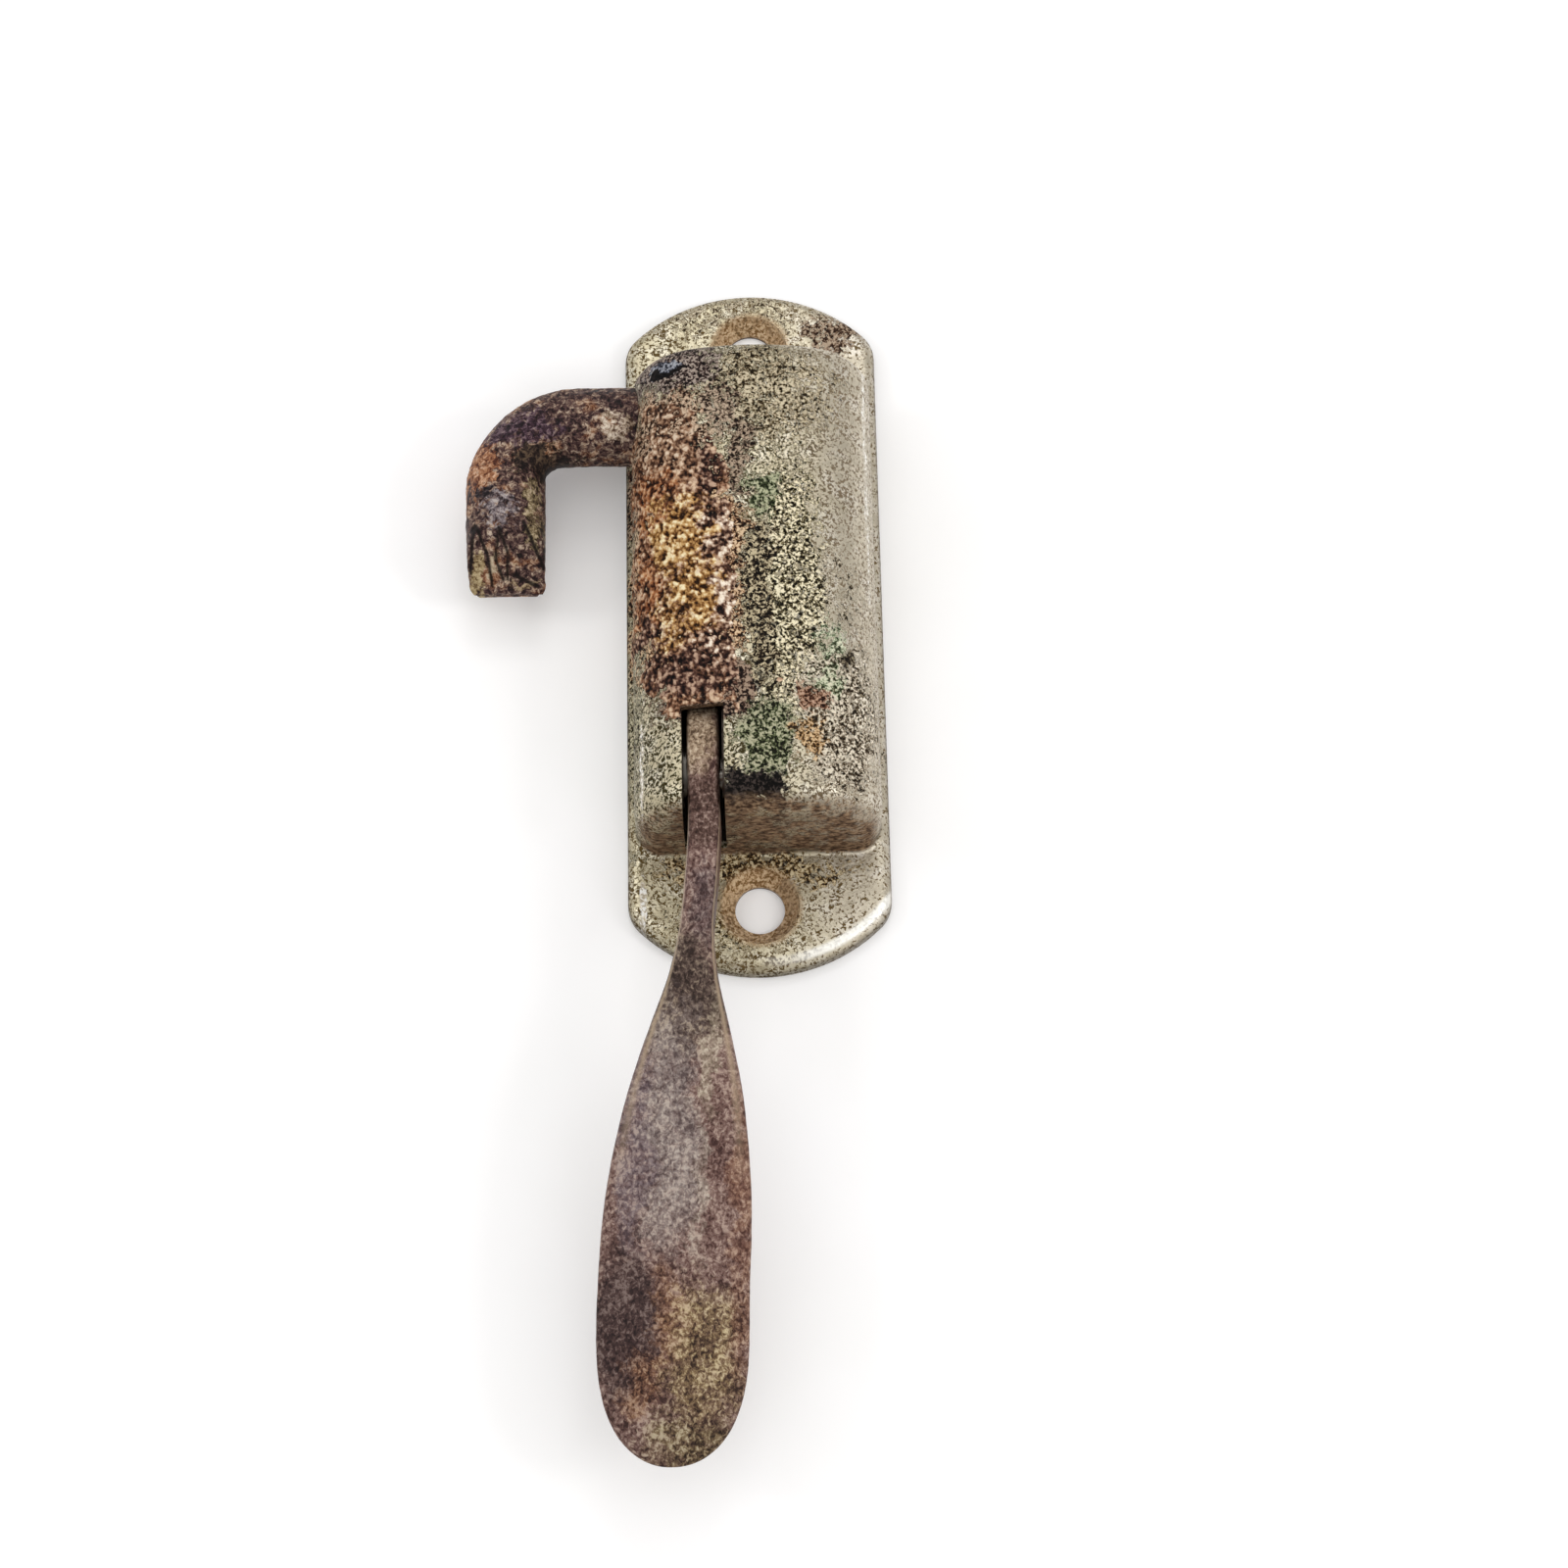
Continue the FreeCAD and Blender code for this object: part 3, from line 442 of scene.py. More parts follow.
def rusted_bar():
    """Deeply rusted bare steel: purple-brown scale, orange where fresh, cream where caked; painted
    shade in the inner bend and the tip's creases.
    """
    material, tree, shader, place = start_material("deeply rusted bare bar steel")
    ragged = wander(tree, place, 3.0, 6.0)
    scale_patches = add(tree, "ShaderNodeTexNoise", {
        "Vector": place, "Scale": per(3.0), "Detail": 4.0, "Roughness": 0.6})
    grit = add(tree, "ShaderNodeTexNoise", {
        "Vector": place, "Scale": per(0.62), "Detail": 5.0, "Roughness": 0.75, "Distortion": 0.6})
    grit = add(tree, "ShaderNodeMix", {0: 0.28, 2: grit, 3: scale_patches}, data_type="FLOAT")
    scale_colour = add(tree, "ShaderNodeValToRGB", {"Fac": grit}, stops=[
        (0.42, "#140A09"), (0.465, "#3A2424"), (0.51, "#5F4742"), (0.55, "#87705F"),
        (0.60, "#C4B09C")])
    fresh = add(tree, "ShaderNodeMapRange", {
        "Value": scale_patches, "From Min": 0.53, "From Max": 0.64, "To Max": 0.8})
    fresh_colour = add(tree, "ShaderNodeValToRGB", {"Fac": grit}, stops=[
        (0.42, "#2E160C"), (0.47, "#663B25"), (0.52, "#936443"), (0.59, "#C4A083")])
    colour = add(tree, "ShaderNodeMix", {
        0: fresh, 6: scale_colour, 7: fresh_colour}, data_type="RGBA")
    colour, _ = lay_patches(tree, colour, grit, ragged, (
        ((-30.2, 15.8), (2.2, 4.2), 0.85, ("#4A2416", "#8A573C", "#AC7C58", "#D6B094")),
        ((-26.0, 19.6), (4.8, 2.4), 0.7, ("#1A0E14", "#3E2832", "#66505A", "#96827C")),
        ((-15.0, 20.0), (1.3, 1.8), 0.65, ("#3F281B", "#8C7762", "#BCA893", "#E6D9C8")),
        # Painted shade: these two near-black ovals darken the inside of the bend and the bar's
        # lower side.
        ((-20.4, 15.4), (5.6, 1.5), 0.95, ("#0E0806", "#1E1410", "#342820", "#665644")),
        ((-23.6, 16.6), (2.6, 1.9), 1.0, ("#0E0806", "#1C1310", "#302420", "#62503F")),
        ((-24.3, 9.8), (1.0, 3.8), 0.75, ("#20140A", "#66563F", "#92805F", "#CDBB9C")),
        ((-28.0, 10.2), (1.9, 2.0), 0.7, ("#2C2426", "#5E5254", "#867A7C", "#B8AEAA")),
        ((-29.4, 12.4), (1.4, 0.8), 0.7, ("#0C0809", "#1C1518", "#352A2E", "#6A5C5A")),
        ((-30.5, 3.9), (1.1, 1.7), 1.0, ("#48301B", "#86704E", "#A8946E", "#CEBC98")),
        ((-28.3, 5.0), (0.5, 1.5), 1.0, ("#3C2A1C", "#7A6650", "#9E8A70", "#C4B298")),
        ((-25.4, 3.2), (1.6, 0.5), 0.8, ("#3B2A1E", "#7E684E", "#A48E70", "#C9B596")),
    ), (0.42, 0.47, 0.52, 0.58))
    # Painted shade: the creases round the hammered flats are darkened to near black.
    crease = add(tree, "ShaderNodeAttribute", attribute_name="edge")
    crease_shade = add(tree, "ShaderNodeMapRange", {
        "Value": crease.outputs["Fac"], "From Min": 0.2, "From Max": 0.7, "To Max": 0.92})
    colour = add(tree, "ShaderNodeMix", {
        0: crease_shade, 6: colour, 7: linear("#140C09")}, data_type="RGBA")
    gloss = add(tree, "ShaderNodeMapRange", {
        "Value": scale_patches, "From Min": 0.35, "From Max": 0.65, "To Min": 0.45, "To Max": 0.85})
    relief = add(tree, "ShaderNodeBump", {"Height": grit, "Strength": 1.0, "Distance": 0.25 * MM})
    shader.inputs["Metallic"].default_value = 0.2
    shader.inputs["Specular IOR Level"].default_value = 0.2
    wire(tree, shader, {"Base Color": colour, "Roughness": gloss, "Normal": relief})
    return material


bar_finish = rusted_bar()
rings, edges = hook_rings()
hook_piece = skin("rusted_hook_arm", rings)
note_values(hook_piece.data, "edge", np.append(np.ravel(edges), (0.0, 0.0)))
hook_piece.data.materials.append(bar_finish)
# Cross holes in the shaft: for the crank's taper pin, the spring's pin and the split pin.
# At rest the crank leans back from upright by this angle, and the taper pin lies across it.
CRANK_LEAN = math.radians(30)
for hole_x, hole_radius, hole_along in (
        (-5.7 * MM, 0.80 * MM, Vector((0, math.cos(CRANK_LEAN), math.sin(CRANK_LEAN)))),
        (0.0, 0.60 * MM, Vector((0, 1, 0))),
        (8.2 * MM, 0.55 * MM, Vector((0, 0, 1)))):
    bore(hook_piece, SHAFT_CENTRE + Vector((hole_x, 0, 0)), hole_radius, hole_along)
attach(hook_piece, "hook_unit")
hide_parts("hook_arm")


# --- crank, link and their pins -------------------------------------------------------------
# The crank is pinned to the cross-shaft and tied to the lever's heel by a flat steel link.
# Crank and link are cropped from strip; the pins and washers are bright turned steel.

for strip_part in ("shaft_crank", "link_bar"):
    finish_node(strip_part, steel_finish)
for pin in ("crank_taper_pin", "crank_link_pin", "lever_link_pin", "link_washers", "spring_pin",
            "shaft_washer", "shaft_split_pin"):
    finish_node(pin, pin_finish)


# --- return spring --------------------------------------------------------------------------
# A torsion spring of hard-drawn wire, coiled round the cross-shaft, that lifts lever and hook back.
# Tempered blue-black, with a thin oily gloss.

def tempered_wire():
    """Oil-tempered spring wire: blue-black and glossy, brown where the film has worn."""
    material, tree, shader, place = start_material("oil-tempered spring wire")
    wear = add(tree, "ShaderNodeTexNoise", {
        "Vector": place, "Scale": per(1.5), "Detail": 4.0, "Roughness": 0.6})
    colour = add(tree, "ShaderNodeValToRGB", {"Fac": wear}, stops=[
        (0.40, "#3A3D45"), (0.54, "#565860"), (0.66, "#6E5846")])
    gloss = add(tree, "ShaderNodeMapRange", {"Value": wear, "To Min": 0.2, "To Max": 0.55})
    relief = add(tree, "ShaderNodeBump", {"Height": wear, "Strength": 0.3, "Distance": 0.02 * MM})
    shader.inputs["Metallic"].default_value = 1.0
    wire(tree, shader, {"Base Color": colour, "Roughness": gloss, "Normal": relief})
    return material


finish_node("return_spring", tempered_wire())


# --- lever ----------------------------------------------------------------------------------
# The hand lever, drop-forged in one piece: round heel, flat-sided root, deep thin neck, and a
# spoon-shaped paddle. Left as forged, its scale has turned to a smooth brown patina.

LEVER_X = -5.7 * MM
LEVER_PIVOT = Vector((LEVER_X, -20.5 * MM, 9.3 * MM))
HEEL_RADIUS = 7.5
# From the pivot outwards, in millimetres: distance, half width, lean to the left,
# rise of the top face above the pivot, thickness.
LEVER_SHAPE = (
    (1.0, 1.75, 0.0, 7.2, 9.0),
    (8.0, 1.75, 0.0, 6.5, 8.7),
    (13.5, 1.80, 0.4, 5.9, 7.2),
    (19.5, 1.95, 1.0, 5.3, 5.2),
    (24.3, 2.75, 1.4, 5.0, 3.9),
    (29.0, 4.10, 1.8, 4.8, 3.2),
    (35.5, 5.80, 2.3, 4.6, 2.7),
    (45.0, 7.30, 3.0, 4.3, 2.5),
    (59.0, 7.75, 3.8, 3.5, 2.4),
    (66.1, 7.75, 3.9, 2.9, 2.3),
    (74.0, 7.75, 4.0, 2.0, 2.1),
)
LEVER_LENGTH = 73.88
# Where the sides start to run together into the paddle's round end.
END_START = 59.0


def eased(x, places, values):
    """Smooth curve through a table of places and values, read at x."""
    i = int(np.clip(np.searchsorted(places, x) - 1, 0, len(places) - 2))
    slopes = np.gradient(values, places)
    width = places[i + 1] - places[i]
    t = np.clip((x - places[i]) / width, 0, 1)
    return ((2 * t**3 - 3 * t**2 + 1) * values[i] + (t**3 - 2 * t**2 + t) * width * slopes[i]
            + (3 * t**2 - 2 * t**3) * values[i + 1] + (t**3 - t**2) * width * slopes[i + 1])


def lever_rings(around=104):
    """Rings from the back of the heel to the paddle's tip, and how strongly each edge takes a
    painted highlight.
    """
    shape = np.array(LEVER_SHAPE)
    heel = (0.01 - HEEL_RADIUS) * np.cos(np.linspace(0, math.pi / 2, 26))
    blade = np.linspace(0.3, END_START, 196)
    end_length = LEVER_LENGTH - END_START
    end = END_START + end_length * np.sin(np.linspace(0.03, math.pi / 2 - 0.004, 70))
    rings, edges = [], []
    for distance in np.concatenate([heel, blade, end]):
        at = max(distance, 1.0)
        half, lean, rise, thickness = (eased(at, shape[:, 0], shape[:, k]) for k in (1, 2, 3, 4))
        along_end = max(distance - END_START, 0) / end_length
        half *= math.sqrt(1 - along_end**3)
        thickness *= math.sqrt(1 - along_end**8)
        top = rise - 0.25 * along_end**8
        floor = top - thickness
        if abs(distance) < HEEL_RADIUS:
            disc = math.sqrt(HEEL_RADIUS**2 - distance**2)
            top = disc if distance < 1.0 else max(top, disc)
            floor = -disc if distance < 1.0 else min(floor, -disc)
        # The section is nearly a rectangle at the heel and rounder along the paddle.
        square = float(np.interp(distance, (7, 14, 26, 45), (9.0, 5.5, 3.6, 3.0)))
        ring = []
        for j in range(around):
            turn = 2 * math.pi * j / around
            c, s = math.cos(turn), math.sin(turn)
            x = half * math.copysign(abs(c) ** (2 / square), c)
            z = (top + floor) / 2 + (top - floor) / 2 * math.copysign(abs(s) ** (2 / square), s)
            point = LEVER_PIVOT + Vector((x - lean, -distance, z)) * MM
            outward = Vector((c, 0, s)).normalized()
            depth = 0.03 if distance < 8 else 0.06
            ring.append(pitted(point, outward, depth, depth * 0.6))
            # Painted highlight: a share for the upper corners along the neck, which the finish
            # lightens.
            corner = max(1 - abs(abs(c) - 0.80) / 0.14, 0) if s > 0 else 0.0
            edges.append(corner * float(np.interp(
                distance, (4, 9, 30, 38, 46), (0.0, 1.0, 0.9, 0.5, 0.0))))
        rings.append(ring)
    return rings, edges


def forged_patina():
    """Forged steel with a smooth brown patina: soft metallic sheen over purple-brown mottle, with
    painted highlights on the paddle and along the neck's upper edges.
    """
    material, tree, shader, place = start_material("forged steel with brown patina")
    ragged = wander(tree, place, 5.0, 8.0)
    # The forging has drawn the mottle out along the lever.
    drawn = add(tree, "ShaderNodeVectorMath", {0: place, 1: (1.0, 0.8, 1.0)}, operation="MULTIPLY")
    mottle = add(tree, "ShaderNodeTexNoise", {
        "Vector": drawn, "Scale": per(3.2), "Detail": 5.0, "Roughness": 0.6})
    fleck = add(tree, "ShaderNodeTexNoise", {
        "Vector": drawn, "Scale": per(0.42), "Detail": 4.0, "Roughness": 0.7, "Distortion": 0.5})
    both = add(tree, "ShaderNodeMix", {0: 0.66, 2: mottle, 3: fleck}, data_type="FLOAT")
    colour = add(tree, "ShaderNodeValToRGB", {"Fac": both}, stops=[
        (0.41, "#3C2622"), (0.475, "#684D46"), (0.525, "#7E655D"), (0.59, "#A89184")])
    colour, _ = lay_patches(tree, colour, both, ragged, (
        ((-5.8, -18.6), (2.2, 4.2), 1.0, ("#4E3C2C", "#8A745E", "#A8927A", "#CCBAA2")),
        ((-5.8, -27.0), (2.6, 3.6), 0.9, ("#2A1812", "#4E3830", "#685048", "#9C867A")),
        ((-5.6, -37.0), (2.4, 4.5), 0.6, ("#362828", "#5A4A4A", "#726260", "#9C8E88")),
        ((-8.0, -46.5), (3.8, 7.0), 1.0, ("#2A1E19", "#4E3E37", "#63534A", "#94836F")),
        # Painted sheen: a lighter grey oval down the middle of the paddle.
        ((-9.6, -61.0), (3.2, 13.0), 0.75, ("#564846", "#7C6E69", "#8E817B", "#B4A79C")),
        ((-13.0, -62.0), (1.6, 13.0), 0.6, ("#4E4044", "#6A5B5E", "#7C6E70", "#A09089")),
        # Painted highlights: two pale streaks right of the paddle's crown.
        ((-5.2, -53.0), (0.9, 7.0), 0.6, ("#6A5C4C", "#8C7D6B", "#A0917E", "#C8BCA8")),
        ((-6.6, -66.0), (0.8, 8.0), 0.5, ("#62544A", "#8A7B6E", "#9C8E82", "#C4B8A8")),
        ((-1.7, -64.0), (1.2, 14.0), 0.7, ("#4E3026", "#745244", "#886653", "#B0937E")),
        ((-14.6, -80.0), (3.2, 8.0), 1.0, ("#1E1212", "#3C2A28", "#503C38", "#7A6862")),
        ((-12.4, -86.5), (2.4, 3.2), 0.8, ("#24100A", "#56382A", "#7A5640", "#A68870")),
        ((-9.8, -80.5), (2.2, 5.0), 0.65, ("#3C2216", "#704C36", "#8A6548", "#B4947A")),
        ((-6.6, -83.5), (3.8, 7.5), 0.75, ("#2A1C12", "#644E38", "#8A7352", "#C6B490")),
        ((-3.0, -80.0), (1.6, 6.0), 0.6, ("#3A2018", "#6A4836", "#866452", "#B4967E")),
        ((-8.0, -92.5), (5.0, 3.0), 0.8, ("#1E120A", "#54422E", "#7C684C", "#B2A488")),
    ), (0.41, 0.475, 0.525, 0.59), blend=0.7)
    # Painted highlight: the upper edges of the neck are lightened to a pale brown.
    painted_highlight = add(tree, "ShaderNodeAttribute", attribute_name="edge")
    highlight_share = add(tree, "ShaderNodeMath", {0: painted_highlight.outputs["Fac"], 1: 0.75},
                       operation="MULTIPLY")
    colour = add(tree, "ShaderNodeMix", {
        0: highlight_share, 6: colour, 7: linear("#C0AA8E")}, data_type="RGBA")
    split = add(tree, "ShaderNodeSeparateXYZ", {"Vector": ragged})
    caked = add(tree, "ShaderNodeMapRange", {
        "Value": split.outputs["Y"], "From Min": -74 * MM, "From Max": -82 * MM})
    gloss = add(tree, "ShaderNodeMapRange", {"Value": caked, "To Min": 0.42, "To Max": 0.75})
    metal = add(tree, "ShaderNodeMapRange", {"Value": caked, "To Min": 0.45, "To Max": 0.1})
    relief = add(tree, "ShaderNodeBump", {"Height": both, "Strength": 1.0, "Distance": 0.22 * MM})
    shader.inputs["Specular IOR Level"].default_value = 0.25
    wire(tree, shader, {
        "Base Color": colour, "Metallic": metal, "Roughness": gloss, "Normal": relief})
    return material


lever_sections, lever_edges = lever_rings()
lever_piece = skin("forged_lever", lever_sections)
note_values(lever_piece.data, "edge", lever_edges + [0.0, 0.0])
lever_piece.data.materials.append(forged_patina())
# Holes for the pivot pin and for the link's pin, which sits as far out as the crank's own.
ACROSS = Vector((1, 0, 0))
CRANK_LENGTH = 4.5 * MM
LINK_PIN = LEVER_PIVOT + Vector((0, -math.sin(CRANK_LEAN), math.cos(CRANK_LEAN))) * CRANK_LENGTH
bore(lever_piece, LEVER_PIVOT, 1.55 * MM, ACROSS)
bore(lever_piece, LINK_PIN, 1.0 * MM, ACROSS)
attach(lever_piece, "lever_unit")
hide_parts("lever")


# --- lever's pivot --------------------------------------------------------------------------
# A headed pin through both ears and the heel, with a washer and a split pin to keep it there.
# A thin washer and a turned spacer hold the heel in line with its slot.

for pivot_part in ("lever_pivot_pin", "lever_pivot_washer", "lever_split_pin",
                   "lever_side_washer", "lever_spacer"):
    finish_node(pivot_part, pin_finish)


# --- cover ----------------------------------------------------------------------------------
# The housing: one deep stamping in 0.9 mm steel, with a rolled rim and two dished screw seats.
# Nickel-plated; damp has broken the plating, worst over the shaft on the left.

# The rolled rim's outline is an arc round each end of the cover; this is the lever's end.
RIM_RADIUS = 18.7 * MM
RIM_CENTRE_Y = -22.2 * MM
SEAT_Y = 33.5 * MM


def freckled_plate(tree, strayed, exact, fleck, clouds):
    """Plate, yellowed on the left and greyer on the right, with freckles; also what stays bare."""
    plate = add(tree, "ShaderNodeValToRGB", {"Fac": clouds}, stops=[
        (0.38, "#C0B6A2"), (0.5, "#CEC4B0"), (0.62, "#DCD4C5")])
    yellowed = add(tree, "ShaderNodeValToRGB", {"Fac": clouds}, stops=[
        (0.38, "#C0B598"), (0.5, "#D2C8AC"), (0.62, "#E2DAC4")])
    # Brown freckles where the plate has worn through: dense and dark towards the crust,
    # faint on the right.
    rightward = add(tree, "ShaderNodeMapRange", {
        "Value": strayed.outputs["X"], "From Min": 1 * MM, "From Max": 10 * MM})
    level = add(tree, "ShaderNodeMapRange", {"Value": rightward, "To Min": 0.495, "To Max": 0.53})
    flange_level, flange_share = (add(tree, "ShaderNodeMapRange", {
        "Value": exact.outputs["Z"], "From Min": 4.0 * MM, "From Max": 2.6 * MM, "To Max": most})
        for most in (0.022, 0.8))
    level = add(tree, "ShaderNodeMath", {0: level, 1: flange_level}, operation="ADD")
    over = add(tree, "ShaderNodeMath", {0: clouds, 1: 0.22, 2: fleck}, operation="MULTIPLY_ADD")
    for threshold in (0.11, level):
        over = add(tree, "ShaderNodeMath", {0: over, 1: threshold}, operation="SUBTRACT")
    freckled = add(tree, "ShaderNodeMapRange", {
        "Value": over, "From Min": -0.012, "From Max": 0.022})
    freckle_colour = add(tree, "ShaderNodeMix", {
        0: rightward, 6: linear("#3A3218"), 7: linear("#7A6A54")}, data_type="RGBA")
    freckle_colour = add(tree, "ShaderNodeMix", {
        0: flange_share, 6: freckle_colour, 7: linear("#665230")}, data_type="RGBA")
    base = add(tree, "ShaderNodeMix", {0: rightward, 6: yellowed, 7: plate}, data_type="RGBA")
    colour = add(tree, "ShaderNodeMix", {0: freckled, 6: base, 7: freckle_colour}, data_type="RGBA")
    unfreckled = add(tree, "ShaderNodeMath", {0: 1.0, 1: freckled}, operation="SUBTRACT")
    return colour, unfreckled


def shaded_wall_foot(tree, colour, exact, facing):
    """Painted shade along the foot of the walls, where they meet the flange."""
    upright = add(tree, "ShaderNodeMapRange", {
        "Value": facing.outputs["Z"], "From Min": 0.7, "From Max": 0.3})
    foot = add(tree, "ShaderNodeMapRange", {
        "Value": exact.outputs["Z"], "From Min": 4.4 * MM, "From Max": 2.8 * MM, "To Max": 0.62})
    foot_shade = add(tree, "ShaderNodeMath", {0: upright, 1: foot}, operation="MULTIPLY")
    return add(tree, "ShaderNodeMix", {
        0: foot_shade, 6: colour, 7: linear("#2E2417")}, data_type="RGBA")


def dull_shaded_end(tree, colour, bare, place, exact, facing, clouds):
    """The upright end face, which has lost its shine and gone olive brown, and is darkened further
    as painted shade on a face turned away from the light.
    """
    end_face = add(tree, "ShaderNodeMapRange", {
        "Value": facing.outputs["Y"], "From Min": -0.35, "From Max": -0.85})
    high = add(tree, "ShaderNodeMapRange", {
        "Value": exact.outputs["Z"], "From Min": 1.8 * MM, "From Max": 2.4 * MM})
    patchy = add(tree, "ShaderNodeMapRange", {
        "Value": clouds, "From Min": 0.38, "From Max": 0.52, "To Min": 0.45})
    dull = end_face
    for limit in (high, patchy):
        dull = add(tree, "ShaderNodeMath", {0: dull, 1: limit}, operation="MULTIPLY")
    streaks = add(tree, "ShaderNodeVectorMath", {0: place, 1: (0.5, 1.0, 1.0)},
                  operation="MULTIPLY")
    streaks = add(tree, "ShaderNodeTexNoise", {
        "Vector": streaks, "Scale": per(0.32), "Detail": 4.0, "Roughness": 0.65})
    dull_shaded_colour = add(tree, "ShaderNodeValToRGB", {"Fac": streaks}, stops=[
        (0.40, "#38271A"), (0.48, "#624B38"), (0.53, "#765D47"), (0.62, "#967C60")])
    colour = add(tree, "ShaderNodeMix", {0: dull, 6: colour, 7: dull_shaded_colour}, data_type="RGBA")
    shiny = add(tree, "ShaderNodeMath", {0: 1.0, 1: dull}, operation="SUBTRACT")
    bare = add(tree, "ShaderNodeMath", {0: bare, 1: shiny}, operation="MULTIPLY")
    return colour, bare


def painted_rim_highlight(tree, colour, place, strayed, exact, facing):
    """Painted highlight: a bright band along the rolled rim round the lower right."""
    flat_place = add(tree, "ShaderNodeVectorMath", {0: place, 1: (1, 1, 0)}, operation="MULTIPLY")
    from_centre = add(tree, "ShaderNodeVectorMath", {
        0: flat_place, 1: (0, RIM_CENTRE_Y, 0)}, operation="DISTANCE")
    off_line = add(tree, "ShaderNodeMath", {
        0: from_centre, 1: RIM_RADIUS - 1.1 * MM}, operation="SUBTRACT")
    off_line = add(tree, "ShaderNodeMath", {0: off_line}, operation="ABSOLUTE")
    band = add(tree, "ShaderNodeMapRange", {
        "Value": off_line, "From Min": 0.7 * MM, "From Max": 0.2 * MM},
        interpolation_type="SMOOTHSTEP")
    rim_side = add(tree, "ShaderNodeMapRange", {
        "Value": strayed.outputs["X"], "From Min": 0.0, "From Max": 7 * MM, "To Max": 0.85})
    near_end = add(tree, "ShaderNodeMapRange", {
        "Value": exact.outputs["Y"], "From Min": -28 * MM, "From Max": -31 * MM})
    upward = add(tree, "ShaderNodeMapRange", {
        "Value": facing.outputs["Z"], "From Min": 0.2, "From Max": 0.6})
    for limit in (rim_side, near_end, upward):
        band = add(tree, "ShaderNodeMath", {0: band, 1: limit}, operation="MULTIPLY")
    return add(tree, "ShaderNodeMix", {
        0: band, 6: colour, 7: linear("#FFFDF6")}, data_type="RGBA")


def ringed_seats(tree, colour, place, fleck):
    """A tan ring round each dished screw seat, where a screw head kept the damp in."""
    for seat_y in (-SEAT_Y, SEAT_Y):
        from_hole = add(tree, "ShaderNodeVectorMath", {0: place, 1: (0, seat_y, 2.2 * MM)},
                        operation="DISTANCE")
        ring = add(tree, "ShaderNodeMapRange", {
            "Value": from_hole, "From Min": 4.9 * MM, "From Max": 4.0 * MM, "To Max": 0.85})
        ring_colour = add(tree, "ShaderNodeValToRGB", {"Fac": fleck}, stops=[
            (0.43, "#80603A"), (0.5, "#BC9870"), (0.57, "#D8BC98")])
        colour = add(tree, "ShaderNodeMix", {0: ring, 6: colour, 7: ring_colour}, data_type="RGBA")
    return colour


